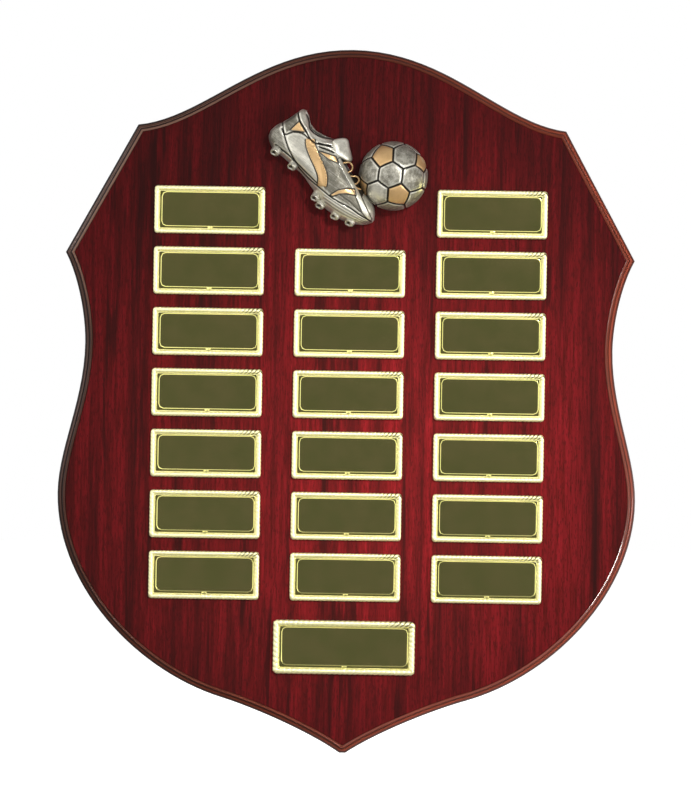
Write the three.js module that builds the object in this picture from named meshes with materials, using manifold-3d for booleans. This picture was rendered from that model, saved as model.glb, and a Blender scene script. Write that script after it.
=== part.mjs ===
// Perpetual trophy: a wooden shield that hangs on a wall, with framed record plates for the yearly
// winners, a title plate and a relief of a football boot and ball.
// Millimetres, +Z up. The front faces -Y. Y = 0 is the wall, X = 0 is the shield's middle, and Z = 0 is
// the height at which the wall hook bears inside the top of the hanging ring.

import * as THREE from 'three';
import { mergeVertices } from 'three/addons/utils/BufferGeometryUtils.js';
import Module from 'manifold-3d';

const wasm = await Module();
wasm.setup();

// Shield board and its veneers
const SHIELD_WIDTH = 355;
const SHIELD_HEIGHT = 432;
const CORE_THICKNESS = 18;
const FACE_VENEER_THICKNESS = 0.6;
const BACK_VENEER_THICKNESS = 0.6;
const VENEER_ARRIS = 0.15;

// Moulded edge of the board, from the back arris to the bead round the face
const BACK_ARRIS = 0.8;
const ROUND_WIDTH = 2.7;
const ROUND_HEIGHT = 3.6;
const QUIRK_WIDTH = 0.5;
const QUIRK_HEIGHT = 1.4;
const BEAD_WIDTH = 1.7;
const BEAD_HEIGHT = 0.6;
const VENEER_SETBACK = 0.3;

// Record plates in their holders, and the title plate in its own
const RECORD_HOLDER_WIDTH = 67.9;
const RECORD_HOLDER_HEIGHT = 29.4;
const TITLE_HOLDER_WIDTH = 87.1;
const TITLE_HOLDER_HEIGHT = 33.1;
const HOLDER_CORNER = 2.2;
const HOLDER_FLOOR = 1;
const RECORD_RIM_WIDTH = 3.1;
const TITLE_RIM_WIDTH = 3.8;
const HOLDER_RIM_HEIGHT = 2.8;
const HOLDER_SIDE_HEIGHT = 1.1;
const HOLDER_INNER_CORNER = 0.8;
const PLATE_THICKNESS = 0.6;
const PLATE_ARRIS = 0.15;
const PLATE_CLEARANCE = 0.3;

// Places of the holders on the face
const COLUMN_GAP = 18.7;
const ROW_GAP = 7.9;
const FIRST_ROW_BELOW_APEX = 100.1;
const TITLE_ABOVE_TIP = 65.1;
const LEAST_TITLE_GAP = 8;

// Relief casting of a boot and a ball, and the foam pads that hold it on
const PAD_THICKNESS = 1;
const BOOT_LENGTH = 83.5;
const BOOT_HEIGHT = 31.2;
const BOOT_DEPTH = 17;
const BOOT_TILT = THREE.MathUtils.degToRad(36.1);
const BOOT_HEEL_ACROSS = -54.8;
const BOOT_HEEL_BELOW_APEX = 57.6;
const STUD_RADIUS = 2.3;
const STUD_LENGTH = 4.2;
const STUD_ROOT = 3;
const STUD_DEPTH = 6;
const BALL_RADIUS = 21.1;
const BALL_CENTRE_DEPTH = 4;
const BALL_ALONG_BOOT = 76.7;
const BALL_ABOVE_SOLE = 31.1;
const WEB_WIDTH = 12;
const WEB_THICKNESS = 3;

// Wall hardware on the back
const HOOK_BELOW_APEX = 48;
const BUMPER_DIAMETER = 12.7;
const BUMPER_THICKNESS = 5.5;
const BUMPER_FLAT_DIAMETER = 8;
const BUMPER_SIDE_HEIGHT = 2.5;
const BUMPER_SPACING = 150;
const BUMPER_ABOVE_TIP = 96;
const WIRE_RADIUS = 1.25;
const RING_WIDTH = 22;
const RING_HEIGHT = 17.5;
const RING_CORNER = 3;
const RING_BUTT_GAP = 0.4;
const EYE_CLEARANCE = 0.25;
const STRAP_THICKNESS = 0.8;
const STRAP_WIDTH = 12;
const STRAP_LENGTH = 34;
const STRAP_TAIL_SHORTER = 3;
const STRAP_LEAF_GAP = 0.3;
const STRAP_EYE_WRAP = THREE.MathUtils.degToRad(128);
const STRAP_LEAVES_MEET_BELOW_BAR = 4.4;
const UPPER_SCREW_BELOW_BAR = 8.8;
const LOWER_SCREW_BELOW_BAR = 26;
const SCREW_RADIUS = 1.3;
const SCREW_LENGTH = 13;
const SCREW_POINT = 2.4;
const SCREW_HEAD_RADIUS = 2.9;
const SCREW_HEAD_HEIGHT = 1.8;
const SCREW_RECESS_WIDTH = 0.7;
const SCREW_RECESS_DEPTH = 0.9;
const SCREW_CLEARANCE = 0.3;
const CUT_OVERRUN = 1;

// Counts of facets
const TOP_EDGE_STEPS = 9;
const WAIST_STEPS = 5;
const FLANK_STEPS = 5;
const BELLY_STEPS = 11;
const TIP_STEPS = 5;
const ROUND_STEPS = 3;
const CORNER_STEPS = 2;
const RIM_STEPS = 4;
const BOOT_SECTION_STEPS = 10;
const STUD_SIDES = 10;
const BALL_SIDES = 32;
const WIRE_SIDES = 10;
const RING_CORNER_STEPS = 4;
const RING_BOW_STEPS = 16;
const EYE_STEPS = 12;
const ROUND_SIDES = 20;

// The right half of the shield's outline, from the apex down to the tip, as cubic curves and one
// straight line. Each point is a share of the half width and of the height below the apex.
const outlineShares = [
  { steps: TOP_EDGE_STEPS, shares: [[0, 0], [0.328, 0], [0.516, 0.101], [0.741, 0.111]] },
  { steps: 1, shares: [[0.741, 0.111], [0.822, 0.172], [0.904, 0.233], [0.985, 0.294]] },
  { steps: WAIST_STEPS, shares: [[0.985, 0.294], [0.937, 0.331], [0.913, 0.386], [0.913, 0.422]] },
  { steps: FLANK_STEPS, shares: [[0.913, 0.422], [0.913, 0.504], [1, 0.573], [1, 0.636]] },
  { steps: BELLY_STEPS, shares: [[1, 0.636], [1, 0.768], [0.72, 0.888], [0.42, 0.924]] },
  { steps: TIP_STEPS, shares: [[0.42, 0.924], [0.306, 0.938], [0.107, 0.972], [0, 1]] },
];

// Sections across the boot, heel to toe: place along its length, sole edge and top edge as shares of
// its height above the heel, and swell as a share of its depth.
const bootSectionShares = [
  [0, 0.24, 0.28, 0.15],
  [0.006, 0.17, 0.404, 0.4],
  [0.032, 0.087, 0.529, 0.58],
  [0.056, 0.051, 0.686, 0.66],
  [0.078, 0.019, 0.87, 0.7],
  [0.09, 0, 0.981, 0.72],
  [0.117, 0, 1, 0.74],
  [0.16, -0.005, 0.942, 0.76],
  [0.201, -0.01, 0.843, 0.78],
  [0.269, -0.03, 0.795, 0.8],
  [0.353, -0.042, 0.83, 0.82],
  [0.413, -0.077, 0.907, 0.85],
  [0.467, -0.128, 1, 0.9],
  [0.497, -0.15, 0.99, 0.92],
  [0.551, -0.19, 0.885, 0.96],
  [0.605, -0.27, 0.75, 1],
  [0.617, -0.29, 0.58, 1],
  [0.665, -0.315, 0.55, 1],
  [0.749, -0.315, 0.48, 0.98],
  [0.808, -0.3, 0.43, 0.94],
  [0.891, -0.23, 0.37, 0.82],
  [0.947, -0.14, 0.28, 0.64],
  [0.98, -0.06, 0.18, 0.45],
  [1, 0.02, 0.08, 0.15],
];
const BOOT_SECTION_FULLNESS_SHARE = 0.8;

// Studs under the sole, as shares of the boot's length
const studShares = [0.122, 0.285, 0.557, 0.628, 0.881];

// Hollow inside the collar: its middle and its half sizes, as shares of the boot's length, depth and
// height
const collarShares = {
  along: 0.27,
  out: 0.42,
  height: 0.9,
  halfLength: 0.15,
  halfDepth: 0.3,
  halfHeight: 0.19,
};

// Pads: middle and size, as shares of the boot's length and height, and of the ball's radius
const bootPadShares = { along: 0.46, height: 0.17, length: 0.5, width: 0.28 };
const ballPadRadiusShare = 0.62;

// Levels that several pieces share, in front of the wall
const BOARD_BACK = -BUMPER_THICKNESS;
const CORE_BACK = BOARD_BACK - BACK_VENEER_THICKNESS;
const CORE_FRONT = CORE_BACK - CORE_THICKNESS;
const FACE = CORE_FRONT - FACE_VENEER_THICKNESS;
const APEX = HOOK_BELOW_APEX;
const TIP = APEX - SHIELD_HEIGHT;
const BAR_HEIGHT = 3 * WIRE_RADIUS - RING_HEIGHT;
const EYE_RADIUS = WIRE_RADIUS + EYE_CLEARANCE;
const BAR_LEVEL = BOARD_BACK + STRAP_THICKNESS + EYE_RADIUS;
const STRAP_TOP = BOARD_BACK + 2 * STRAP_THICKNESS + STRAP_LEAF_GAP;
const VENEER_INSET = ROUND_WIDTH + QUIRK_WIDTH + BEAD_WIDTH + VENEER_SETBACK;

// Finishes
const finishes = {
  darkEdge: new THREE.MeshStandardMaterial({ color: '#3a1512', roughness: 0.35, metalness: 0 }),
  rosewood: new THREE.MeshStandardMaterial({ color: '#6e1620', roughness: 0.25, metalness: 0 }),
  backSheet: new THREE.MeshStandardMaterial({ color: '#2a1614', roughness: 0.6, metalness: 0 }),
  ropeGold: new THREE.MeshStandardMaterial({ color: '#e8d98c', roughness: 0.3, metalness: 1 }),
  plateGold: new THREE.MeshStandardMaterial({ color: '#b9a85c', roughness: 0.18, metalness: 1 }),
  antiqueSilver: new THREE.MeshStandardMaterial({ color: '#b5b0a4', roughness: 0.4, metalness: 0.6 }),
  foamTape: new THREE.MeshStandardMaterial({ color: '#e4e1d8', roughness: 0.9, metalness: 0 }),
  zincSteel: new THREE.MeshStandardMaterial({ color: '#c9cbcc', roughness: 0.35, metalness: 1 }),
  rubber: new THREE.MeshStandardMaterial({ color: '#1c1c1e', roughness: 0.8, metalness: 0 }),
};

// A closed body through rings of points, each ring as long as the next. Both end rings are closed by
// flat caps. capOutline is a ring drawn flat, running anticlockwise as seen looking back along the loft.
function loft(rings, capOutline) {
  const count = rings[0].length;
  const positions = rings.flat().flatMap((point) => point.toArray());
  const index = [];
  for (let ring = 0; ring + 1 < rings.length; ring += 1) {
    for (let k = 0; k < count; k += 1) {
      const here = ring * count + k;
      const next = ring * count + ((k + 1) % count);
      index.push(here, next, next + count, here, next + count, here + count);
    }
  }
  const lastRing = (rings.length - 1) * count;
  for (const [a, b, c] of THREE.ShapeUtils.triangulateShape(capOutline, [])) {
    index.push(a, c, b, a + lastRing, b + lastRing, c + lastRing);
  }
  const geometry = new THREE.BufferGeometry();
  geometry.setAttribute('position', new THREE.Float32BufferAttribute(positions, 3));
  geometry.setIndex(index);
  return geometry;
}

// A slab that lies in the plane of the wall: outlineAt gives its outline for an inset, and each level
// is an inset and a place along Y, from the back to the front.
function mouldedSlab(outlineAt, levels) {
  const rings = levels.map(([inset, y]) =>
    outlineAt(inset).map((point) => new THREE.Vector3(point.x, y, point.y)));
  return loft(rings, outlineAt(levels.at(-1)[0]));
}

// Solids for cutting and joining. A shape is made about the origin, where its seams meet exactly, and
// is moved to its place once they are merged.
function toSolid(geometry, x = 0, y = 0, z = 0) {
  const bare = geometry.clone();
  bare.deleteAttribute('normal');
  bare.deleteAttribute('uv');
  const merged = mergeVertices(bare);
  merged.translate(x, y, z);
  const vertProperties = new Float32Array(merged.attributes.position.array);
  const triVerts = new Uint32Array(merged.index.array);
  return new wasm.Manifold(new wasm.Mesh({ numProp: 3, vertProperties, triVerts }));
}

function toGeometry(solid) {
  const mesh = solid.getMesh();
  const geometry = new THREE.BufferGeometry();
  geometry.setAttribute('position', new THREE.Float32BufferAttribute(mesh.vertProperties, 3));
  geometry.setIndex(Array.from(mesh.triVerts));
  return geometry;
}

// A straight pin along Y for cutting round holes, from one level to another
function holeCutter(radius, x, z, fromY, toY) {
  const cutter = new THREE.CylinderGeometry(radius, radius, Math.abs(toY - fromY), ROUND_SIDES);
  return toSolid(cutter, x, (fromY + toY) / 2, z);
}

// Outline of the shield, seen from the front and running anticlockwise
function shieldOutline() {
  const half = [];
  for (const { steps, shares } of outlineShares) {
    const corners = shares.map(([across, down]) =>
      new THREE.Vector2(across * SHIELD_WIDTH / 2, APEX - down * SHIELD_HEIGHT));
    const points = new THREE.CubicBezierCurve(...corners).getPoints(steps);
    half.push(...(half.length ? points.slice(1) : points));
  }
  const leftHalf = half.slice(1, -1).map((point) => new THREE.Vector2(-point.x, point.y));
  return [...leftHalf, half.at(-1), ...half.slice(1, -1).reverse(), half[0]];
}

// The outline drawn in by an inset, with mitred corners
function insetOutline(outline, inset) {
  return outline.map((point, k) => {
    const before = outline.at(k - 1);
    const after = outline[(k + 1) % outline.length];
    const arriving = new THREE.Vector2().subVectors(point, before).normalize();
    const leaving = new THREE.Vector2().subVectors(after, point).normalize();
    const inward = new THREE.Vector2(-arriving.y - leaving.y, arriving.x + leaving.x);
    const reach = 2 * inset / inward.lengthSq();
    return point.clone().addScaledVector(inward, reach);
  });
}

const baseOutline = shieldOutline();
const shieldInset = (inset) => insetOutline(baseOutline, inset);

// Holes for the two hanger screws, cut into what they pass
const screwHeights = {
  hanger_screw_upper: BAR_HEIGHT - UPPER_SCREW_BELOW_BAR,
  hanger_screw_lower: BAR_HEIGHT - LOWER_SCREW_BELOW_BAR,
};
const SCREW_END = STRAP_TOP - SCREW_LENGTH;

function drillForScrews(geometry) {
  let solid = toSolid(geometry);
  for (const z of Object.values(screwHeights)) {
    const radius = SCREW_RADIUS + SCREW_CLEARANCE;
    const cutter = holeCutter(radius, 0, z, STRAP_TOP + CUT_OVERRUN, SCREW_END - SCREW_CLEARANCE);
    solid = solid.subtract(cutter);
  }
  return toGeometry(solid);
}

// Shield board: an MDF core with a roundover, a quirk and a bead worked round its face
function shieldBoard() {
  const roundBottom = CORE_FRONT + BEAD_HEIGHT + QUIRK_HEIGHT + ROUND_HEIGHT;
  const levels = [[BACK_ARRIS, CORE_BACK], [0, CORE_BACK - BACK_ARRIS]];
  for (let k = 0; k <= ROUND_STEPS; k += 1) {
    const angle = (k / ROUND_STEPS) * Math.PI / 2;
    levels.push([ROUND_WIDTH * (1 - Math.cos(angle)), roundBottom - ROUND_HEIGHT * Math.sin(angle)]);
  }
  levels.push([ROUND_WIDTH + QUIRK_WIDTH, roundBottom - ROUND_HEIGHT]);
  levels.push([ROUND_WIDTH + QUIRK_WIDTH, roundBottom - ROUND_HEIGHT - QUIRK_HEIGHT]);
  levels.push([ROUND_WIDTH + QUIRK_WIDTH + BEAD_WIDTH, CORE_FRONT]);
  return drillForScrews(mouldedSlab(shieldInset, levels));
}

function faceVeneer() {
  return mouldedSlab(shieldInset, [
    [VENEER_INSET, CORE_FRONT],
    [VENEER_INSET, FACE + VENEER_ARRIS],
    [VENEER_INSET + VENEER_ARRIS, FACE],
  ]);
}

function backVeneer() {
  return drillForScrews(mouldedSlab(shieldInset, [[BACK_ARRIS, BOARD_BACK], [BACK_ARRIS, CORE_BACK]]));
}

// A rounded rectangle about the origin, drawn in by an inset, running anticlockwise
function roundedRectangle(width, height, corner, inset) {
  const points = [];
  const radius = Math.max(corner - inset, HOLDER_INNER_CORNER);
  const reachX = width / 2 - inset - radius;
  const reachY = height / 2 - inset - radius;
  const quarters = [[1, -1], [1, 1], [-1, 1], [-1, -1]];
  quarters.forEach(([signX, signY], quarter) => {
    for (let k = 0; k <= CORNER_STEPS; k += 1) {
      const angle = (quarter - 1 + k / CORNER_STEPS) * Math.PI / 2;
      const x = signX * reachX + radius * Math.cos(angle);
      const y = signY * reachY + radius * Math.sin(angle);
      points.push(new THREE.Vector2(x, y));
    }
  });
  return points;
}

// A plate holder: a shallow tray with a half-round rim
function plateHolder(width, height, rimWidth) {
  const outlineAt = (inset) => roundedRectangle(width, height, HOLDER_CORNER, inset);
  const crown = HOLDER_RIM_HEIGHT - HOLDER_SIDE_HEIGHT;
  const levels = [[0, 0]];
  for (let k = 0; k <= RIM_STEPS; k += 1) {
    const angle = (k / RIM_STEPS) * Math.PI;
    const inset = rimWidth / 2 * (1 - Math.cos(angle));
    levels.push([inset, -HOLDER_SIDE_HEIGHT - crown * Math.sin(angle)]);
  }
  levels.push([rimWidth, -HOLDER_FLOOR]);
  return mouldedSlab(outlineAt, levels);
}

// A plate that drops into the tray of its holder
function engravingPlate(holderWidth, holderHeight, rimWidth) {
  const border = rimWidth + PLATE_CLEARANCE;
  const outlineAt = (inset) => roundedRectangle(holderWidth, holderHeight, HOLDER_CORNER, inset);
  const arrisLevel = PLATE_ARRIS - PLATE_THICKNESS;
  const levels = [[border, 0], [border, arrisLevel], [border + PLATE_ARRIS, -PLATE_THICKNESS]];
  return mouldedSlab(outlineAt, levels);
}

// The boot, in its own axes: X along the sole from the heel, Z up from the sole, Y = 0 its flat back
function bootBody() {
  const rings = bootSectionShares.map(([along, bottom, top, swell]) => {
    const middle = (bottom + top) / 2 * BOOT_HEIGHT;
    const half = (top - bottom) / 2 * BOOT_HEIGHT;
    const points = [];
    for (let k = 0; k <= BOOT_SECTION_STEPS; k += 1) {
      const angle = (k / BOOT_SECTION_STEPS) * Math.PI;
      const rise = Math.sign(Math.cos(angle)) * Math.abs(Math.cos(angle)) ** BOOT_SECTION_FULLNESS_SHARE;
      const out = Math.abs(Math.sin(angle)) ** BOOT_SECTION_FULLNESS_SHARE;
      const y = k === BOOT_SECTION_STEPS ? 0 : -swell * BOOT_DEPTH * out;
      points.push(new THREE.Vector3(along * BOOT_LENGTH, y, middle + half * rise));
    }
    return points;
  });
  const capOutline = rings[0].map((point) => new THREE.Vector2(point.y, point.z));
  return loft(rings, capOutline);
}

// Height of the sole's lower edge at a share of the boot's length
function soleEdgeAt(share) {
  const next = bootSectionShares.findIndex(([along]) => along >= share);
  const [alongBefore, bottomBefore] = bootSectionShares[next - 1];
  const [alongAfter, bottomAfter] = bootSectionShares[next];
  const part = (share - alongBefore) / (alongAfter - alongBefore);
  return THREE.MathUtils.lerp(bottomBefore, bottomAfter, part) * BOOT_HEIGHT;
}

// Relief of a boot and a ball, cast in one piece, with a thin web that joins the two behind
function bootAndBall() {
  const ball = new THREE.SphereGeometry(BALL_RADIUS, BALL_SIDES, BALL_SIDES / 2);
  const ballSolid = toSolid(ball, BALL_ALONG_BOOT, -BALL_CENTRE_DEPTH, BALL_ABOVE_SOLE);
  const web = new THREE.BoxGeometry(WEB_WIDTH, WEB_THICKNESS, BALL_ABOVE_SOLE);
  const webSolid = toSolid(web, BALL_ALONG_BOOT - WEB_WIDTH / 2, -WEB_THICKNESS / 2, BALL_ABOVE_SOLE / 2);
  let relief = toSolid(bootBody()).add(ballSolid).add(webSolid);
  const hollow = new THREE.SphereGeometry(1, BALL_SIDES / 2, BALL_SIDES / 4);
  const { along, out, height, halfLength, halfDepth, halfHeight } = collarShares;
  hollow.scale(halfLength * BOOT_LENGTH, halfDepth * BOOT_DEPTH, halfHeight * BOOT_HEIGHT);
  relief = relief.subtract(toSolid(hollow, along * BOOT_LENGTH, -out * BOOT_DEPTH, height * BOOT_HEIGHT));
  for (const share of studShares) {
    const stud = new THREE.CylinderGeometry(STUD_RADIUS, STUD_RADIUS, STUD_LENGTH + STUD_ROOT, STUD_SIDES);
    stud.rotateX(Math.PI / 2);
    const middle = soleEdgeAt(share) + (STUD_ROOT - STUD_LENGTH) / 2;
    relief = relief.add(toSolid(stud, share * BOOT_LENGTH, -STUD_DEPTH, middle));
  }
  const behind = new THREE.BoxGeometry(3 * BOOT_LENGTH, BALL_RADIUS, 3 * BOOT_LENGTH);
  return toGeometry(relief.subtract(toSolid(behind, BOOT_LENGTH / 2, BALL_RADIUS / 2, 0)));
}

function bootPad() {
  const length = bootPadShares.length * BOOT_LENGTH;
  const pad = new THREE.BoxGeometry(length, PAD_THICKNESS, bootPadShares.width * BOOT_HEIGHT);
  const middle = bootPadShares.height * BOOT_HEIGHT;
  pad.translate(bootPadShares.along * BOOT_LENGTH, PAD_THICKNESS / 2, middle);
  return pad;
}

function ballPad() {
  const radius = ballPadRadiusShare * BALL_RADIUS;
  const pad = new THREE.CylinderGeometry(radius, radius, PAD_THICKNESS, ROUND_SIDES);
  pad.translate(BALL_ALONG_BOOT, PAD_THICKNESS / 2, BALL_ABOVE_SOLE);
  return pad;
}

// Hanging ring: a D of round wire, its ends butted inside the strap's eye. It is drawn about its bar.
function ringPath() {
  const reach = RING_WIDTH / 2 - WIRE_RADIUS;
  const bowCentre = RING_HEIGHT - 2 * WIRE_RADIUS - reach;
  const half = [[RING_BUTT_GAP / 2, 0]];
  for (let k = 0; k <= RING_CORNER_STEPS; k += 1) {
    const angle = (k / RING_CORNER_STEPS - 1) * Math.PI / 2;
    half.push([reach - RING_CORNER + RING_CORNER * Math.cos(angle), RING_CORNER * (1 + Math.sin(angle))]);
  }
  const bow = [];
  for (let k = 0; k <= RING_BOW_STEPS; k += 1) {
    const angle = (k / RING_BOW_STEPS) * Math.PI;
    bow.push([reach * Math.cos(angle), bowCentre + reach * Math.sin(angle)]);
  }
  const otherHalf = half.map(([x, z]) => [-x, z]).reverse();
  return [...half, ...bow, ...otherHalf].map(([x, z]) => new THREE.Vector3(x, 0, z));
}

function hangingRing() {
  const path = ringPath();
  const section = [];
  for (let k = 0; k < WIRE_SIDES; k += 1) {
    const angle = (k / WIRE_SIDES) * 2 * Math.PI;
    section.push(new THREE.Vector2(WIRE_RADIUS * Math.cos(angle), WIRE_RADIUS * Math.sin(angle)));
  }
  const rings = path.map((point, k) => {
    const before = path[Math.max(k - 1, 0)];
    const after = path[Math.min(k + 1, path.length - 1)];
    const tangent = new THREE.Vector3().subVectors(after, before).normalize();
    const sideways = new THREE.Vector3(tangent.z, 0, -tangent.x);
    return section.map(({ x, y }) => point.clone().addScaledVector(sideways, x).setY(y));
  });
  return loft(rings, section);
}

// Hanger strap: one strip folded round the bar, both leaves screwed to the back of the board. Its side
// profile runs in height above the back and in Z, and is extruded across its width.
function hangerStrap() {
  const outer = [];
  const inner = [];
  const eyeLevel = STRAP_THICKNESS + EYE_RADIUS;
  const turn = Math.PI / 2 + STRAP_EYE_WRAP;
  for (let k = 0; k <= EYE_STEPS; k += 1) {
    const angle = (k / EYE_STEPS) * turn - Math.PI / 2;
    const along = Math.cos(angle);
    const up = Math.sin(angle);
    const wide = EYE_RADIUS + STRAP_THICKNESS;
    outer.push([wide * along, eyeLevel + wide * up]);
    inner.push([EYE_RADIUS * along, eyeLevel + EYE_RADIUS * up]);
  }
  const footFar = -STRAP_LENGTH;
  const tailFar = STRAP_TAIL_SHORTER - STRAP_LENGTH;
  const tailNear = -STRAP_LEAVES_MEET_BELOW_BAR;
  const tailUnder = STRAP_THICKNESS + STRAP_LEAF_GAP;
  const tailOver = tailUnder + STRAP_THICKNESS;
  const profile = [
    [footFar, 0],
    ...outer,
    [tailNear, tailOver],
    [tailFar, tailOver],
    [tailFar, tailUnder],
    [tailNear, tailUnder],
    ...inner.reverse(),
    [footFar, STRAP_THICKNESS],
  ];
  const outline = profile.map(([z, height]) => new THREE.Vector2(z, height));
  const side = (x) => outline.map((point) =>
    new THREE.Vector3(x, BOARD_BACK + point.y, BAR_HEIGHT + point.x));
  let strap = toSolid(loft([side(STRAP_WIDTH / 2), side(-STRAP_WIDTH / 2)], outline));
  for (const z of Object.values(screwHeights)) {
    const radius = SCREW_RADIUS + SCREW_CLEARANCE;
    const cutter = holeCutter(radius, 0, z, STRAP_TOP + CUT_OVERRUN, BOARD_BACK - CUT_OVERRUN);
    strap = strap.subtract(cutter);
  }
  return toGeometry(strap);
}

// Pan-head screw, drawn along Y with the underside of its head at the origin
function hangerScrew() {
  const headArc = [];
  for (let k = 0; k <= CORNER_STEPS; k += 1) {
    const angle = (k / CORNER_STEPS) * Math.PI / 2;
    const x = SCREW_HEAD_RADIUS * (1 + Math.cos(angle)) / 2;
    headArc.push(new THREE.Vector2(x, SCREW_HEAD_HEIGHT * (1 + Math.sin(angle)) / 2));
  }
  const profile = [
    new THREE.Vector2(0, -SCREW_LENGTH),
    new THREE.Vector2(SCREW_RADIUS, SCREW_POINT - SCREW_LENGTH),
    new THREE.Vector2(SCREW_RADIUS, 0),
    new THREE.Vector2(SCREW_HEAD_RADIUS, 0),
    ...headArc,
    new THREE.Vector2(0, SCREW_HEAD_HEIGHT),
  ];
  let screw = toSolid(new THREE.LatheGeometry(profile, ROUND_SIDES));
  for (const [x, z] of [[SCREW_HEAD_RADIUS, SCREW_RECESS_WIDTH], [SCREW_RECESS_WIDTH, SCREW_HEAD_RADIUS]]) {
    const slot = new THREE.BoxGeometry(x, 2 * SCREW_RECESS_DEPTH, z);
    screw = screw.subtract(toSolid(slot, 0, SCREW_HEAD_HEIGHT, 0));
  }
  return toGeometry(screw);
}

// Rubber bumper that keeps the shield off the wall, drawn along Y from its stuck side
function wallBumper() {
  const profile = [
    new THREE.Vector2(0, 0),
    new THREE.Vector2(BUMPER_DIAMETER / 2, 0),
    new THREE.Vector2(BUMPER_DIAMETER / 2, BUMPER_SIDE_HEIGHT),
    new THREE.Vector2(BUMPER_FLAT_DIAMETER / 2, BUMPER_THICKNESS),
    new THREE.Vector2(0, BUMPER_THICKNESS),
  ];
  return toGeometry(toSolid(new THREE.LatheGeometry(profile, ROUND_SIDES)));
}

// The assembly
const trophy = new THREE.Group();
trophy.name = 'perpetual_trophy';

function place(name, geometry, finish, x = 0, y = 0, z = 0, parent = trophy) {
  const mesh = new THREE.Mesh(geometry, finish);
  mesh.name = name;
  mesh.position.set(x, y, z);
  parent.add(mesh);
}

place('shield_board', shieldBoard(), finishes.darkEdge);
place('face_veneer', faceVeneer(), finishes.rosewood);
place('back_veneer', backVeneer(), finishes.backSheet);

// Record holders and plates, numbered down each column from the left. The rows fill the room above the
// title, and the middle column starts a row lower, under the relief.
const recordHolder = plateHolder(RECORD_HOLDER_WIDTH, RECORD_HOLDER_HEIGHT, RECORD_RIM_WIDTH);
const recordPlate = engravingPlate(RECORD_HOLDER_WIDTH, RECORD_HOLDER_HEIGHT, RECORD_RIM_WIDTH);
const titleHeight = TIP + TITLE_ABOVE_TIP;
const firstRow = APEX - FIRST_ROW_BELOW_APEX;
const rowPitch = RECORD_HOLDER_HEIGHT + ROW_GAP;
const lowestRow = titleHeight + TITLE_HOLDER_HEIGHT / 2 + LEAST_TITLE_GAP + RECORD_HOLDER_HEIGHT / 2;
const rows = 1 + Math.floor((firstRow - lowestRow) / rowPitch);
let plateNumber = 0;
for (const [column, startRow] of [[-1, 0], [0, 1], [1, 0]]) {
  for (let row = startRow; row < rows; row += 1) {
    plateNumber += 1;
    const label = String(plateNumber).padStart(2, '0');
    const x = column * (RECORD_HOLDER_WIDTH + COLUMN_GAP);
    const z = firstRow - row * rowPitch;
    place(`record_holder_${label}`, recordHolder, finishes.ropeGold, x, FACE, z);
    place(`record_plate_${label}`, recordPlate, finishes.plateGold, x, FACE - HOLDER_FLOOR, z);
  }
}

const titleHolder = plateHolder(TITLE_HOLDER_WIDTH, TITLE_HOLDER_HEIGHT, TITLE_RIM_WIDTH);
const titlePlate = engravingPlate(TITLE_HOLDER_WIDTH, TITLE_HOLDER_HEIGHT, TITLE_RIM_WIDTH);
place('title_holder', titleHolder, finishes.ropeGold, 0, FACE, titleHeight);
place('title_plate', titlePlate, finishes.plateGold, 0, FACE - HOLDER_FLOOR, titleHeight);

// The relief leans on its sole, so boot, ball and pads share one turned group
const relief = new THREE.Group();
relief.position.set(BOOT_HEEL_ACROSS, FACE - PAD_THICKNESS, APEX - BOOT_HEEL_BELOW_APEX);
relief.rotation.y = BOOT_TILT;
trophy.add(relief);
place('boot_and_ball_casting', bootAndBall(), finishes.antiqueSilver, 0, 0, 0, relief);
place('casting_pad_boot', bootPad(), finishes.foamTape, 0, 0, 0, relief);
place('casting_pad_ball', ballPad(), finishes.foamTape, 0, 0, 0, relief);

// Hanging hardware and bumpers
place('hanger_strap', hangerStrap(), finishes.zincSteel);
place('hanger_ring', hangingRing(), finishes.zincSteel, 0, BAR_LEVEL, BAR_HEIGHT);
for (const [name, z] of Object.entries(screwHeights)) {
  place(name, hangerScrew(), finishes.zincSteel, 0, STRAP_TOP, z);
}
for (const [name, side] of [['wall_bumper_left', -1], ['wall_bumper_right', 1]]) {
  const bumper = wallBumper();
  place(name, bumper, finishes.rubber, side * BUMPER_SPACING / 2, BOARD_BACK, TIP + BUMPER_ABOVE_TIP);
}

export default trophy;
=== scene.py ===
"""A perpetual trophy: a wooden shield with framed record plates, a title plate and a cast relief of a
football boot and ball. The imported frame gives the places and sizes, in metres, and this file gives the
pieces their finished shapes and surfaces."""

import functools
import math

import bmesh
import bpy
import numpy as np
from mathutils import Matrix, Vector
from mathutils.geometry import interpolate_bezier


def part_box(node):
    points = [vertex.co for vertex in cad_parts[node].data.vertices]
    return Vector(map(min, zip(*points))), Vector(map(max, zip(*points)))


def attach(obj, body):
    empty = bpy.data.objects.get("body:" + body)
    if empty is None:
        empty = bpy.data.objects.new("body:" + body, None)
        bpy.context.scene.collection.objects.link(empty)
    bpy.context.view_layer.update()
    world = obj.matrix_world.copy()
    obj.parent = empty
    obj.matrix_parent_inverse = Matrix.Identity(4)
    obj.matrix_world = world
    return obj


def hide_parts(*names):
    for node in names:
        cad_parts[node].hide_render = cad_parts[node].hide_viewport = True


bl_info = {
    "name": "Perpetual Trophy Shield",
    "version": (1, 0, 0),
    "blender": (4, 5, 0),
    "location": "View3D > Sidebar > Trophy",
    "description": "Builds a wooden trophy shield with record plates and a cast boot and ball relief",
    "category": "Object",
}

MM = 0.001

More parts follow.
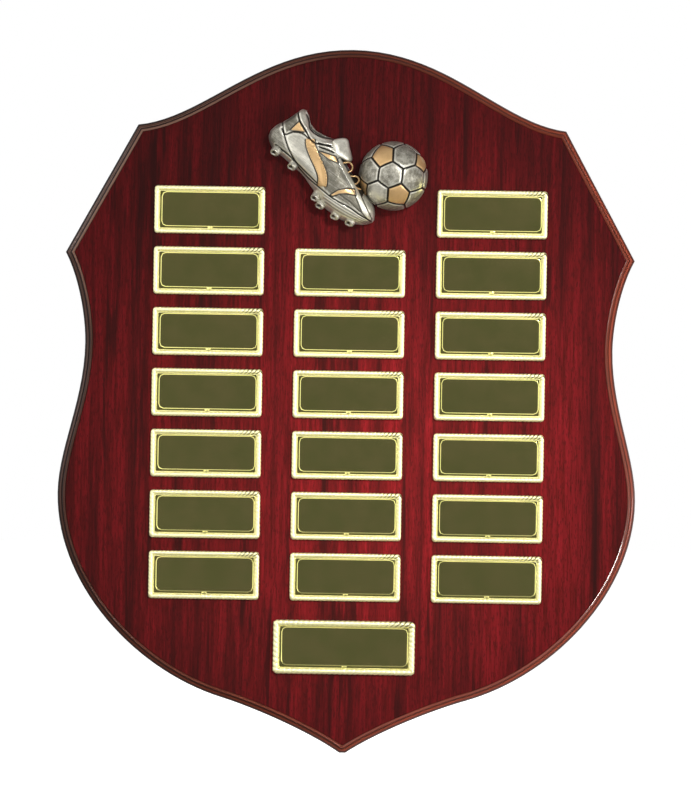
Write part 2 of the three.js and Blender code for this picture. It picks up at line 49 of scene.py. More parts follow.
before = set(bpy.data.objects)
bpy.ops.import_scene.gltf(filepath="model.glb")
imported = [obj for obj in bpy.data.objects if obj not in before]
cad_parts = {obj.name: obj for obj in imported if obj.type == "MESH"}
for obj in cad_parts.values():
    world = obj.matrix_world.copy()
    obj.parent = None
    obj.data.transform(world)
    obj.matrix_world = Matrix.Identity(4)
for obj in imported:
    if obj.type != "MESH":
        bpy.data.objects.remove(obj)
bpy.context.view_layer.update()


def node_size(name):
    """Width, depth and height of one node of the frame."""
    low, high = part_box(name)
    return high - low


BOARD_LOW, BOARD_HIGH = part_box("shield_board")
RING_LOW, RING_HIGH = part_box("hanger_ring")
STRAP_LOW, STRAP_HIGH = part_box("hanger_strap")
BUMPER_SIZE = node_size("wall_bumper_left")
# Places along Y, which runs from the front to the back
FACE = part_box("face_veneer")[0].y
CORE_FRONT = BOARD_LOW.y
CORE_BACK = BOARD_HIGH.y
BOARD_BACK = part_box("back_veneer")[1].y
RECORD_NAMES = sorted(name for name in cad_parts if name.startswith("record_holder_"))

# The right half of the shield's outline from the apex to the tip: curves, each with its number of
# steps, whose points are shares of the half width and of the height. The last one would end just below
# the foot, where the tip is cut flat.
OUTLINE_CURVES = (
    (22, ((0, 0), (0.328, 0), (0.516, 0.101), (0.741, 0.111))),
    (6, ((0.741, 0.111), (0.822, 0.172), (0.904, 0.233), (0.985, 0.294))),
    (11, ((0.985, 0.294), (0.937, 0.331), (0.913, 0.386), (0.913, 0.422))),
    (14, ((0.913, 0.422), (0.913, 0.504), (1, 0.573), (1, 0.636))),
    (30, ((1, 0.636), (1, 0.768), (0.72, 0.888), (0.42, 0.924))),
    (13, ((0.42, 0.924), (0.306, 0.938), (0.107, 0.972), (0, 1.003))),
)

# Moulded edge of the board, in millimetres: how far each step goes in and how far it comes forward
ROUND_WIDTH, ROUND_HEIGHT, ROUND_STEPS = 2.7, 4.2, 9
QUIRK_STEPS = ((0.3, -0.12), (0.2, 0.05), (0.02, 1.6))
BEAD_STEPS = ((0.1, 0.3), (0.15, 0.2), (0.2, 0.12), (0.25, 0.03), (0.15, -0.03), (0.3, -0.15), (0.5, -0.29))
# How wide the whole moulding is, and how far behind the core's front it starts
MOULDING_WIDTH, MOULDING_HEIGHT = 4.9, 5.6
# How dark the stain lies on each step of the edge, from 0 to 1. The steps also paint light: painted shade
# in the quirk's groove, and a painted sheen where the values drop, on the roundover's crown and the bead's
# inner side
ROUND_STAIN_AND_SHEEN = (1, 1, 1, 1, 0.95, 0.7, 0.05, 0.15, 0.55)
QUIRK_STAIN_AND_SHADE = (0.95, 0.95, 0.9)
BEAD_STAIN_AND_HIGHLIGHT = (0.85, 0.7, 0.6, 0.35, 0.3, 0.35, 0.45)

# Broken edges of the face veneer and the plates, and the corners of a plate
FINE_ARRIS = 0.15 * MM
PLATE_CORNER = 0.8 * MM

# Relief of the boot, in millimetres along its sole from the heel and up from the sole. Each section
# gives its place, sole edge, top edge, and swell as a share of the depth.
BOOT_DEPTH = 17
BOOT_SECTIONS = (
    (0, 7.5, 8.7, 0.15), (0.5, 5.3, 12.6, 0.4), (2.7, 2.7, 16.5, 0.58), (4.7, 1.6, 21.4, 0.66),
    (6.5, 0.6, 27.1, 0.7), (7.5, 0, 30.6, 0.72), (9.8, 0, 31.2, 0.74), (13.4, -0.2, 29.4, 0.76),
    (16.8, -0.3, 26.3, 0.78), (22.5, -0.9, 24.8, 0.8), (29.5, -1.3, 25.9, 0.82), (34.5, -2.4, 27.6, 0.85),
    (39, -4, 26.6, 0.9), (41.5, -4.7, 25, 0.92), (46, -5.9, 22, 0.96), (50.5, -8.4, 19.2, 1),
    (51.5, -9, 18.7, 1), (55.5, -9.8, 17.2, 1), (62.5, -9.8, 15, 0.98), (67.5, -9.4, 13.4, 0.94),
    (74.4, -7.2, 11.5, 0.82), (79.1, -4.4, 8.7, 0.64), (81.8, -1.9, 5.6, 0.45), (83.5, 0.6, 2.5, 0.15),
)
SECTION_FULLNESS = 0.8
# The sections are read at this many places, and each reading is eased with as many to each side
SECTION_SAMPLES, SECTION_EASE = 836, 12

WELT_LINE = ((8, 2.8), (14, 2.6), (20.9, 2.1), (28.1, 0.1), (37.2, -1.5), (49.4, -2.5), (55.2, -2.7),
             (60.4, -2.1), (68.1, -1), (75, -0.7), (82.8, 0.6))
HEEL_SEAM = ((2.4, 17), (7.4, 11.8), (11.7, 8.3), (17.4, 4.6), (24.4, 1.9), (36.1, 0), (42.5, -0.9))
ANKLE_SEAM = ((5.2, 12.8), (8.9, 11.2), (12.1, 15.3), (17, 17.9), (22.1, 17.8))
COLLAR_LOWER = ((6.4, 27.4), (11.2, 23.2), (17, 20.8), (22.2, 18.4), (26, 17.9), (30.5, 19.6), (35.1, 22.5))
COLLAR_UPPER = ((12, 28.9), (15.6, 26.5), (18.4, 23.5), (22.5, 22.6), (27.1, 23.3), (31.3, 25.3),
                (35.2, 27.6))
COLLAR_HOLLOW = ((13, 28.6), (15.8, 26.3), (18.5, 23.7), (22.5, 22.8), (27.1, 23.5), (31.3, 25.5),
                 (34.6, 27.3), (35.6, 28.1), (32.7, 26.7), (27.4, 24.7), (23.1, 24.3), (19.6, 24.6),
                 (16.6, 26.2), (14, 28.6))
QUARTER_PANEL = ((3.4, 16.6), (6.2, 25.6), (7, 27), (11.2, 23.2), (9.9, 15.2), (8.9, 11.8))
HEEL_PANEL = ((0, 6), (2.4, 17), (7.4, 11.8), (11.7, 8.3), (17.4, 4.6), (20, 2), (8, 0), (3, 2))
SIDE_PANEL = ((31.5, 14.4), (39.5, 14.6), (44.6, 16.6), (63, 8.2), (59, 7.3), (55.4, 3.1), (53.6, -1.7),
              (49, -2))
TOE_PANEL = ((54.7, -1.6), (60.8, 4.9), (65.8, 7.3), (75, 1.4), (82, 0.2), (68, -1))
SOLE_PANEL = (*WELT_LINE[1:], (83, -3), (74, -8), (62, -11), (50, -10), (40, -5), (14, -1))
TONGUE_PANEL = ((25.6, 17.3), (35.4, 22.6), (41.3, 19), (31.6, 15.5))
TONGUE_STRIPES = (((28.2, 19.2), (36.9, 22.2)), ((29.9, 17.6), (39.3, 20.3)))
TONGUE_FLAP = ((33.8, 25.6), (35.2, 28), (38.6, 31.4), (41.4, 31.9), (45.4, 28.6), (50.6, 24), (49.6, 21.2),
               (44.6, 19.9), (40.1, 19.2), (36.9, 22.4))
SADDLE_BAND = ((22.4, 18.9), (25.4, 15.2), (31.2, 11.4), (37.5, 8), (43, 4), (46.6, -1.8))
SADDLE_WIDTH = 5.6
ANKLE_PATCH = ((11.1, 22.6), (17.9, 19.7), (9.9, 15.2))
LACE_TAB = ((31.5, 15.2), (41.7, 18.9), (45.6, 16.8), (39.5, 15))
TOE_BAND = ((53.4, -1.9), (55.4, 3.1), (59, 7.3), (62.8, 9.8), (65.8, 7.3), (60.8, 4.9), (57.3, 2),
            (54.9, -1.6))
EYESTAY = ((43.8, 17.7), (50.8, 14.4), (63.9, 8.4), (75.4, 1.3), (82.2, 0.3), (81.9, 1.8), (72.6, 6.6),
           (64.6, 11), (55.1, 15.4), (44.4, 19.9))
THROAT = ((42.8, 19.6), (44.4, 19.9), (55.1, 15.4), (64.6, 11), (70, 8.2), (68.5, 13.4), (62.5, 15.2),
          (55.5, 17.4), (51.3, 18.6), (49.5, 23), (46, 21.3))
LACE_PATH = ((47.5, 18.6), (50.4, 21.2), (53.2, 20.6), (54.4, 18.4), (53.8, 15.8), (56, 15), (59.2, 17),
             (61.6, 16.2), (61.8, 13.6), (60.6, 11.8), (63.4, 11.4), (66.2, 12.4))
SOLE_RIBS = (((50, -4.2), (62, -3.6), (75, -2), (82.6, -0.4)),
             ((51, -5.6), (63, -5.1), (75, -3.2), (82, -1.3)),
             ((53, -7.1), (64, -6.6), (74, -4.7), (80.6, -2.5)), ((58, 1.6), (66, 1.6), (74, 0.7)))
STUDS = ((10.3, -1.1), (23.9, -1.9), (46.7, -8.6), (51.9, -10.6), (63, -10.4), (72.6, -8.2))
# A stud's radius at its tip and at the sole, its length, how far its middle stands out from the back and
# up from its mark, its rounding, and the width and depth of the dimple in its tip
STUD_TIP, STUD_ROOT, STUD_LENGTH = 2.7, 3.4, 6.6
STUD_OUT, STUD_UP, STUD_ROUND = 6.2, 1.9, 0.8
STUD_DIMPLE, DIMPLE_DEPTH = 0.5, 0.4
STUD_TURN = math.radians(-34)

# The boot's frame stands at the corner of its heel, 54.8 mm left of the apex and 57.6 mm below it, and
# 1 mm off the face on its tape
RELIEF_LEAN = math.radians(36.1)
RELIEF_FRAME = Matrix.Translation((-54.8 * MM, FACE - 1 * MM, BOARD_HIGH.z - 57.6 * MM)) @ \
    Matrix.Rotation(RELIEF_LEAN, 4, "Y")
# The ball's middle in the boot's frame
BALL_MIDDLE = (76.7, -4, 31.1)

# Corners of the ball's seams as seen from the front, as shares of its radius across and up. Capitals
# lie outside its rim.
BALL_CORNERS = {
    "a": (-0.408, 0.195), "b": (-0.028, 0.369), "c": (0.271, 0.159), "d": (0.224, -0.261),
    "e": (-0.150, -0.407), "f": (-0.455, -0.186), "g": (-0.365, 0.880), "h": (-0.008, 0.768),
    "i": (-0.649, 0.499), "j": (0.301, 0.902), "k": (0.660, 0.650), "l": (0.623, 0.283),
    "m": (0.79, 0.588), "n": (0.953, 0.248), "o": (0.885, 0.094), "p": (0.833, -0.353),
    "r": (0.475, -0.504), "s": (0.330, -0.851), "t": (-0.161, -0.783), "u": (-0.476, -0.853),
    "v": (-0.749, -0.632), "w": (-0.754, -0.288), "x": (-0.984, -0.043), "y": (-0.919, 0.354),
    "A": (1.1, 0.6), "B": (1.1, 0.25), "C": (-1.2, -0.1), "D": (-1, -0.8),
}
BALL_SEAMS = (
    "ab bc cd de ef fa bh hg gi ia hj jk kl lc km mn no ol op pr rd rs st te tu uv vw wf wx xy yi"
).split()
BALL_OPEN_CORNERS = "gjmnpsuvxy"
# Gilt panels, the panel that is painted brightest as a painted highlight, and the one where the ageing wash
# was left on
BALL_GILT_PANELS = ("abhgi", "drste", "lkmABno", "wxCDv")
BALL_HIGHLIGHT_PANEL = "efwvut"
BALL_DULL_PANEL = "cloprd"


def size_property(name, description, default, unit="LENGTH"):
    """A property that holds a size, in metres unless its unit says otherwise."""
    return bpy.props.FloatProperty(name=name, description=description, default=default, unit=unit)


def colour_property(name, place, default):
    """A property that holds the colour of a place as sRGB hex."""
    return bpy.props.StringProperty(name=name, description="sRGB hex colour of " + place, default=default)


class ShieldSettings(bpy.types.PropertyGroup):
    """Sizes and colours of the board and its veneers."""

    width: size_property("Width", "Overall width of the board", BOARD_HIGH.x - BOARD_LOW.x)
    height: size_property("Height", "Overall height of the board", BOARD_HIGH.z - BOARD_LOW.z)
    arris: size_property("Back arris", "Rounding of the board's back edge", 0.8 * MM)
    veneer_setback: size_property(
        "Veneer setback", "Bare strip between the bead and the face veneer", 0.3 * MM)
    rosewood_bright: colour_property("Rosewood, bright figure", "the bright figure", "#AC2229")
    rosewood_body: colour_property("Rosewood, body", "the body of the veneer", "#7A1817")
    rosewood_dark: colour_property("Rosewood, dark streaks", "the dark streaks", "#3E1310")
    # The thin stain colour is also the painted lit colour of the edge's right side, and the full stain
    # colour is also the painted shade of its left side
    edge_stain_lit_right: colour_property("Edge stain", "the moulding where the stain is thin", "#AC4D35")
    edge_dark: colour_property("Edge stain, full", "the moulding where the stain is full", "#523629")
    edge_drag: colour_property("Edge drag marks", "the marks that the stain's rag left", "#5E2A1A")
    # This colour is a painted highlight on the bead's inner side
    edge_painted_highlight: colour_property("Edge, rubbed", "the bead's inner side where it is rubbed", "#8C6858")
    side_stain: colour_property("Side stain", "the board's side", "#1E0D0A")
    back_sheet: colour_property("Back sheet", "the balancing sheet", "#4A2C1E")


class HolderSettings(bpy.types.PropertyGroup):
    """Sizes and colours of the rope-twist plate holders."""

    corner: size_property("Corner", "Radius of the holder's corners", 2.2 * MM)
    record_rim: size_property("Record rim", "Width of the rope round a record plate", 3 * MM)
    title_rim: size_property("Title rim", "Width of the rope round the title plate", 3.8 * MM)
    record_lay: size_property("Record lay", "Spacing of the twists of a record rim", 2.45 * MM)
    title_lay: size_property("Title lay", "Spacing of the twists of the title rim", 3.1 * MM)
    floor: size_property("Floor", "Thickness of the tray under the plate", 1 * MM)
    gilt: colour_property("Rope gilt", "the gilt rope", "#FFFAC4")
    # The hollows' colour is painted shade between the strands
    hollow: colour_property("Rope hollows", "the hollows between the strands", "#4E4418")


class PlateSettings(bpy.types.PropertyGroup):
    """Sizes and colours of the engraving plates."""

    thickness: size_property("Thickness", "Thickness of a plate", 0.6 * MM)
    border: size_property("Border", "Flat border outside the raised line", 0.65 * MM)
    lean: size_property(
        "Lean", "How far the raised line sits towards the plate's upper right corner", 0.4 * MM)
    line: size_property("Line", "Width of the raised line", 0.8 * MM)
    chamfer: size_property("Chamfer", "Cut across the corners of the raised line", 3 * MM)
    gold: colour_property("Plate gold", "the polished plates", "#F4E996")
    gold_cloud: colour_property("Plate gold, clouds", "the clouds where the dye took less", "#E6E38C")


class ReliefSettings(bpy.types.PropertyGroup):
    """Sizes and colours of the cast boot and ball."""

    seam_depth: size_property("Seam depth", "Depth of the boot's seams", 0.55 * MM)
    band_height: size_property("Band height", "Height of the raised bands", 0.5 * MM)
    ball_radius: size_property("Ball radius", "Radius of the ball", 21.1 * MM)
    ball_seam_depth: size_property("Ball seam depth", "Depth of the ball's seams", 0.8 * MM)
    silver: colour_property("Silver", "the burnished silver", "#E5E1D2")
    patina: colour_property("Patina", "the aged silver", "#6A665A")
    soot: colour_property("Seam black", "what is left in the seams", "#1A1712")
    gilt: colour_property("Gilt", "the gilt panels", "#DEB884")
    gilt_aged: colour_property("Gilt, aged", "the aged gilt", "#8C6A3A")


class HangerSettings(bpy.types.PropertyGroup):
    """Sizes and colours of the wall hardware."""

    wire_radius: size_property("Wire radius", "Radius of the ring's wire", 1.25 * MM)
    ring_corner: size_property("Ring corner", "Radius of the ring's two corners", 3 * MM)
    strap_thickness: size_property("Strap thickness", "Thickness of the strap", 0.8 * MM)
    eye_radius: size_property("Eye radius", "Inside radius of the strap's eye", 1.5 * MM)
    steel: colour_property("Zinc plate", "the zinc-plated steel", "#C7C9C8")
    steel_cloud: colour_property("Zinc plate, clouds", "the clouds in the zinc plate", "#A8ABAD")
    rubber: colour_property("Rubber", "the bumpers", "#1E1E20")


class StageSettings(bpy.types.PropertyGroup):
    """Camera, lights and floor."""

    camera_distance: size_property("Camera distance", "Distance from the camera to the face", 2.5)
    camera_roll: bpy.props.FloatProperty(
        name="Camera roll", description="Turn of the camera about its own axis",
        default=math.radians(0.95), subtype="ANGLE")
    view_height: size_property("View height", "Height of the view at the face", 0.4905)
    key_power: size_property("Key power", "Power of the key light", 14, "POWER")
    pool_power: size_property(
        "Pool power", "Power of the spot on the middle of the shield", 145, "POWER")
    glint_power: size_property(
        "Glint power", "Power of the lamp that picks out the bead", 40, "POWER")
    floor_gap: size_property("Floor gap", "Height of the shield's tip above the floor", 0.07)


SETTINGS = {
    "trophy_shield": ShieldSettings,
    "trophy_holders": HolderSettings,
    "trophy_plates": PlateSettings,
    "trophy_relief": ReliefSettings,
    "trophy_hanger": HangerSettings,
    "trophy_stage": StageSettings,
}


def linear(hex_colour):
    """The linear RGBA value of an sRGB hex colour."""
    channels = [int(hex_colour[k:k + 2], 16) / 255 for k in (1, 3, 5)]
    return [c / 12.92 if c <= 0.04045 else ((c + 0.055) / 1.055) ** 2.4 for c in channels] + [1]


def add_node(tree, kind, inputs=(), **settings):
    """Adds a shader node with its settings, and fills or links its inputs. A node given for an input
    stands for its first output in use. A Mix of colours has its share at 0 and its colours at 6 and 7."""
    node = tree.nodes.new("ShaderNode" + kind)
    for name, value in settings.items():
        setattr(node, name, value)
    for name, value in dict(inputs).items():
        if isinstance(value, bpy.types.Node):
            value = next(output for output in value.outputs if output.enabled)
        if isinstance(value, bpy.types.NodeSocket):
            tree.links.new(value, node.inputs[name])
        else:
            node.inputs[name].default_value = value
    return node


def fill_tree(tree, output, finish, *settings):
    """Fills a node tree with the nodes of a finish, which returns its shader."""
    tree.nodes.clear()
    node = functools.partial(add_node, tree)
    node(output, {"Surface": finish(node, *settings)})


def new_material(finish, *settings):
    """A material named for its finish."""
    material = bpy.data.materials.new(finish.__name__)
    material.use_nodes = True
    fill_tree(material.node_tree, "OutputMaterial", finish, *settings)
    return material


def lacquered_rosewood(node, settings):
    """Rosewood veneer under polyester lacquer: straight figure with short dark pores, deep gloss."""
    place = node("TexCoord").outputs["Object"]
    # A slow waver bends the grain by about 2 mm over a hand's length
    waver = node("Mapping", {"Vector": place, "Scale": (9, 9, 4)})
    drift = node("TexNoise", {"Vector": waver, "Scale": 1, "Detail": 1}).outputs["Color"]
    offset = node("VectorMath", {0: drift, 1: (0.006, 0, 0)}, operation="MULTIPLY")
    grain = node("VectorMath", {0: place, 1: offset}, operation="ADD")
    # Bands about 7 mm wide and 300 mm long, dark lines about 3 mm wide and 20 to 30 mm apart, streaks
    # about 1.2 mm wide and 20 mm long, and pores, which are dark dashes 0.5 mm wide and 3 mm long
    figure = []
    for scale, detail, roughness, low, high, most, step in (
            ((150, 60, 3.5), 3, 0.6, 0.28, 0.64, 1, "LINEAR"),
            ((105, 60, 7), 3, 0.65, 0.42, 0.34, 0.75, "SMOOTHSTEP"),
            ((800, 60, 45), 3, 0.6, 0.36, 0.66, 0.85, "LINEAR"),
            ((1900, 60, 330), 1, 0.5, 0.5, 0.68, 0.5, "SMOOTHSTEP")):
        drawn = node("Mapping", {"Vector": grain, "Scale": scale})
        noise = node("TexNoise", {"Vector": drawn, "Scale": 1, "Detail": detail, "Roughness": roughness})
        figure.append(node("MapRange", {"Value": noise, "From Min": low, "From Max": high,
                                        "To Max": most}, interpolation_type=step))
    bands, veins, streaks, pores = figure
    streaks = node("Math", {0: streaks, 1: bands}, operation="MULTIPLY")
    bright, body, dark = (linear(tint) for tint in (settings.rosewood_bright, settings.rosewood_body,
                                                    settings.rosewood_dark))
    colour = dark
    for share, tint in ((bands, body), (streaks, bright), (pores, dark), (veins, dark)):
        colour = node("Mix", {0: share, 6: colour, 7: tint}, data_type="RGBA")
    # Painted light: the colour darkens away from a spot near the middle of the face, a painted pool of
    # light that falls off towards the rim
    away = node("VectorMath", {0: place, 1: (0.02, FACE, -0.205)}, operation="DISTANCE")
    clear = node("MapRange", {"Value": away, "From Min": 0.04, "From Max": 0.21, "To Min": 1,
                              "To Max": 0.4})
    pool_lit_colour = node("VectorMath", {0: colour, "Scale": clear}, operation="SCALE")
    return node("BsdfPrincipled", {
        "Base Color": pool_lit_colour, "Roughness": 0.6, "IOR": 1.5, "Specular IOR Level": 0.05,
        "Coat Weight": 1, "Coat Roughness": 0.06, "Coat IOR": 1.4})


def stained_mdf_edge(node, settings):
    """Shaped MDF edge, stained and lacquered: warm brown where the stain is thin, near black down the side
    and in the quirk, with faint drag marks of the rag. Light is painted into it as well: painted shade in
    the quirk and to the left, a lighter right side, and painted sheen and highlight on the roundover and
    the bead."""
    place = node("TexCoord").outputs["Object"]
    depth = node("Attribute", attribute_name="stain").outputs["Fac"]
    # Drag marks about 1 mm wide that run round the edge
    drag_map = node("Mapping", {"Vector": place, "Scale": (60, 900, 60)})
    drag = node("TexNoise", {"Vector": drag_map, "Scale": 1, "Detail": 3})
    dragged = node("MapRange", {"Value": drag, "From Min": 0.3, "From Max": 0.7, "To Max": 0.4})
    # The stain was wiped thinner towards the right
    # Painted light: the edge is painted lighter and warmer towards the right, where the light falls, and
    # darker to the left
    right = node("VectorMath", {0: place, 1: (0.95, 0, -0.3)}, operation="DOT_PRODUCT")
    lit_from_right = node("MapRange", {"Value": right, "From Min": -0.1, "From Max": 0.15})
    right_light_thinning = node("MapRange", {"Value": lit_from_right, "To Min": 1, "To Max": 0.8})
    soaked = node("Math", {0: depth, 1: right_light_thinning}, operation="MULTIPLY")
    # Painted highlight: the bead's inner side, where the stain is a third to a half deep, is painted
    # lighter at the upper left, where it catches the light
    across = node("VectorMath", {0: place, 1: (0.75, 0, -0.66)}, operation="DOT_PRODUCT")
    rubbed = None
    for value, low, high in ((depth, 0.2, 0.3), (depth, 0.55, 0.45), (across, -0.03, -0.08)):
        part = node("MapRange", {"Value": value, "From Min": low, "From Max": high})
        rubbed = node("Math", {0: rubbed, 1: part}, operation="MULTIPLY") if rubbed else part
    colour = linear(settings.edge_dark)
    for share, tint in ((lit_from_right, settings.edge_stain_lit_right), (dragged, settings.edge_drag),
                        (soaked, settings.side_stain), (rubbed, settings.edge_painted_highlight)):
        colour = node("Mix", {0: share, 6: colour, 7: linear(tint)}, data_type="RGBA")
    # The lacquer lies thickest at the lower right
    lacquer = node("MapRange", {"Value": across, "From Min": 0.2, "From Max": 0.28, "To Min": 0.06,
                                "To Max": 0.9})
    return node("BsdfPrincipled", {
        "Base Color": colour, "Roughness": 0.5, "IOR": 1.5, "Specular IOR Level": 0.1,
        "Coat Weight": lacquer, "Coat Roughness": 0.12, "Coat IOR": 1.4})


def printed_back_sheet(node, settings):
    """Printed melamine balancing sheet: satin brown with a faint straight grain."""
    place = node("TexCoord").outputs["Object"]
    # Grain lines about 2 mm wide and 70 mm long
    grain_map = node("Mapping", {"Vector": place, "Scale": (420, 60, 14)})
    grain = node("TexNoise", {"Vector": grain_map, "Scale": 1, "Detail": 4})
    share = node("MapRange", {"Value": grain, "From Min": 0.35, "From Max": 0.65, "To Max": 0.7})
    colour = node("Mix", {0: share, 6: linear(settings.back_sheet), 7: linear(settings.rosewood_dark)},
                  data_type="RGBA")
    bump = node("Bump", {"Height": grain, "Strength": 0.15, "Distance": 0.1 * MM})
    return node("BsdfPrincipled", {"Base Color": colour, "Roughness": 0.55, "IOR": 1.5, "Normal": bump})


def gilt_rope_casting(node, settings):
    """Electro-gilt zinc casting, bright: pale gold with darker hollows between the strands, which are
    painted shade, heaviest towards the upper right.
    """
    place = node("TexCoord").outputs["Object"]
    # The gloss varies in spots about 1 mm across
    mottle = node("TexNoise", {"Vector": place, "Scale": 900, "Detail": 2})
    gloss = node("MapRange", {"Value": mottle, "To Min": 0.42, "To Max": 0.56})
    hollow = node("Attribute", attribute_name="hollow").outputs["Fac"]
    colour = node("Mix", {0: hollow, 6: linear(settings.gilt), 7: linear(settings.hollow)},
                  data_type="RGBA")
    return node("BsdfPrincipled", {"Base Color": colour, "Metallic": 1, "Roughness": gloss})


def anodised_gold_plate(node, settings):
    """Anodised aluminium engraving plate, gold and bright rolled: a mirror with the faintest drag lines."""
    place = node("TexCoord").outputs["Object"]
    # Rolling lines 0.2 mm apart along the plate
    roll_map = node("Mapping", {"Vector": place, "Scale": (30, 30, 5000)})
    roll = node("TexNoise", {"Vector": roll_map, "Scale": 1, "Detail": 2})
    gloss = node("MapRange", {"Value": roll, "To Min": 0.07, "To Max": 0.16})
    # The dye took unevenly, in clouds 10 to 20 mm across
    cloud = node("TexNoise", {"Vector": place, "Scale": 70, "Detail": 3})
    clouded = node("MapRange", {"Value": cloud, "From Min": 0.35, "From Max": 0.65})
    dye = node("Mix", {0: clouded, 6: linear(settings.gold), 7: linear(settings.gold_cloud)},
               data_type="RGBA")
    return node("BsdfPrincipled", {"Base Color": dye, "Metallic": 1, "Roughness": gloss})


def antique_silver_cold_cast(node, settings):
    """Cold-cast resin with a silver finish, aged and rubbed back: bright high places, dull hollows, black
    seams, and gilt panels. The ageing values also paint in some highlights and shade."""
    place = node("TexCoord").outputs["Object"]
    seam, aged, gilt, brushed = (node("Attribute", attribute_name=name).outputs["Fac"]
                                 for name in ("seam", "aged", "gilt", "brushed"))
    # Blotches of the ageing wash, 2 to 4 mm across, and a 0.3 mm stipple from the mould
    blotch = node("TexNoise", {"Vector": place, "Scale": 330, "Detail": 4, "Roughness": 0.65})
    stipple = node("TexNoise", {"Vector": place, "Scale": 3200, "Detail": 1})
    # The boot was rubbed along its length, which left streaks 0.5 mm apart and 8 mm long
    along_boot = node("Mapping", {"Vector": place, "Rotation": (0, -RELIEF_LEAN, 0)})
    rub_map = node("Mapping", {"Vector": along_boot, "Scale": (120, 300, 2000)})
    rub = node("TexNoise", {"Vector": rub_map, "Scale": 1, "Detail": 3, "Roughness": 0.6})
    worn = node("Mix", {0: brushed, 2: blotch, 3: rub}, data_type="FLOAT")
    wash, speck = (node("MapRange", {"Value": value, "From Min": 0.3, "From Max": 0.7, "To Min": -reach,
                                     "To Max": reach}) for value, reach in ((worn, 0.3), (stipple, 0.12)))
    both = node("Math", {0: wash, 1: speck}, operation="ADD")
    ageing = node("Math", {0: both, 1: aged}, operation="ADD", use_clamp=True)
    silver = node("Mix", {0: ageing, 6: linear(settings.silver), 7: linear(settings.patina)},
                  data_type="RGBA")
    # Gilt ages less than the silver
    gilt_ageing = node("Math", {0: ageing, 1: 0.3}, operation="MULTIPLY")
    gold = node("Mix", {0: gilt_ageing, 6: linear(settings.gilt), 7: linear(settings.gilt_aged)},
                data_type="RGBA")
    metal = node("Mix", {0: gilt, 6: silver, 7: gold}, data_type="RGBA")
    colour = node("Mix", {0: seam, 6: metal, 7: linear(settings.soot)}, data_type="RGBA")
    rough = node("MapRange", {"Value": ageing, "To Min": 0.3, "To Max": 0.5})
    bump = node("Bump", {"Height": stipple, "Strength": 0.25, "Distance": 0.05 * MM})
    return node("BsdfPrincipled", {"Base Color": colour, "Metallic": 0.75, "Roughness": rough,
                                   "Normal": bump})


def zinc_plated_steel(node, settings):
    """Pressed steel with bright zinc plate: cool grey, faintly cloudy."""
    place = node("TexCoord").outputs["Object"]
    # Clouds about 2 mm across
    cloud = node("TexNoise", {"Vector": place, "Scale": 450, "Detail": 4})
    colour = node("Mix", {0: cloud, 6: linear(settings.steel), 7: linear(settings.steel_cloud)},
                  data_type="RGBA")
    gloss = node("MapRange", {"Value": cloud, "To Min": 0.22, "To Max": 0.42})
    return node("BsdfPrincipled", {"Base Color": colour, "Metallic": 1, "Roughness": gloss})


def moulded_rubber(node, settings):
    """Moulded rubber: near black, soft sheen, fine tooth."""
    place = node("TexCoord").outputs["Object"]
    # Tooth about 0.4 mm across
    tooth = node("TexNoise", {"Vector": place, "Scale": 2500, "Detail": 2})
    bump = node("Bump", {"Height": tooth, "Strength": 0.3, "Distance": 0.05 * MM})
    rough = node("MapRange", {"Value": tooth, "To Min": 0.55, "To Max": 0.75})
    return node("BsdfPrincipled", {"Base Color": linear(settings.rubber), "Roughness": rough, "IOR": 1.52,
                                   "Normal": bump})


def foam_tape(node):
    """Closed-cell foam tape: off white with open bubbles along its cut edge."""
    place = node("TexCoord").outputs["Object"]
    # Bubbles about 0.4 mm across
    bubbles = node("TexVoronoi", {"Vector": place, "Scale": 2500})
    colour = node("Mix", {0: bubbles, 6: linear("#E9E6DC"), 7: linear("#CFCBBE")}, data_type="RGBA")
    bump = node("Bump", {"Height": bubbles, "Strength": 0.4, "Distance": 0.1 * MM})
    return node("BsdfPrincipled", {"Base Color": colour, "Roughness": 0.85, "IOR": 1.45, "Normal": bump})


def finish_piece(bm, name, material, nodes, body="shield", sharp_angle=35):
    """Turns a bmesh into a finished piece that rides on a body and stands for its nodes."""
    mesh = bpy.data.meshes.new(name)
    bm.to_mesh(mesh)
    bm.free()
    mesh.shade_smooth()
    mesh.set_sharp_from_angle(angle=math.radians(sharp_angle))
    mesh.materials.append(material)
    piece = bpy.data.objects.new(name, mesh)
    bpy.context.scene.collection.objects.link(piece)
    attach(piece, body)
    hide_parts(*nodes)
    return piece


def outline_face(bm, settings, y):
    """The shield's outline as one face that looks forward, at a place along Y."""
    half = []
    for steps, curve in OUTLINE_CURVES:
        corners = [Vector((across * settings.width / 2, y, BOARD_HIGH.z - down * settings.height))
                   for across, down in curve]
        points = interpolate_bezier(*corners, steps + 1)
        half += points[1:] if half else points
    # The tip is cut flat at the foot
    tip, before = half[-1], half[-2]
    half[-1] = tip.lerp(before, (BOARD_LOW.z - tip.z) / (before.z - tip.z))
    mirrored = [Vector((-point.x, point.y, point.z)) for point in half[1:]]
    loop = mirrored + half[::-1]
    face = bm.faces.new([bm.verts.new(point) for point in loop])
    face.normal_update()
    return face


def rounded_face(bm, width, height, corner, segments):
    """A flat face about the origin that looks forward, with its corners cut round."""
    verts = bmesh.ops.create_grid(bm, x_segments=1, y_segments=1, size=0.5)["verts"]
    bmesh.ops.scale(bm, vec=(width, height, 1), verts=verts)
    bmesh.ops.rotate(bm, matrix=Matrix.Rotation(math.pi / 2, 3, "X"), verts=verts)
    bmesh.ops.bevel(bm, geom=verts, offset=corner, segments=segments, profile=0.5, material=-1,
                    affect="VERTICES")
    return [f for f in bm.faces if f.is_valid and abs(f.calc_center_median().y) < 1e-9][-1]


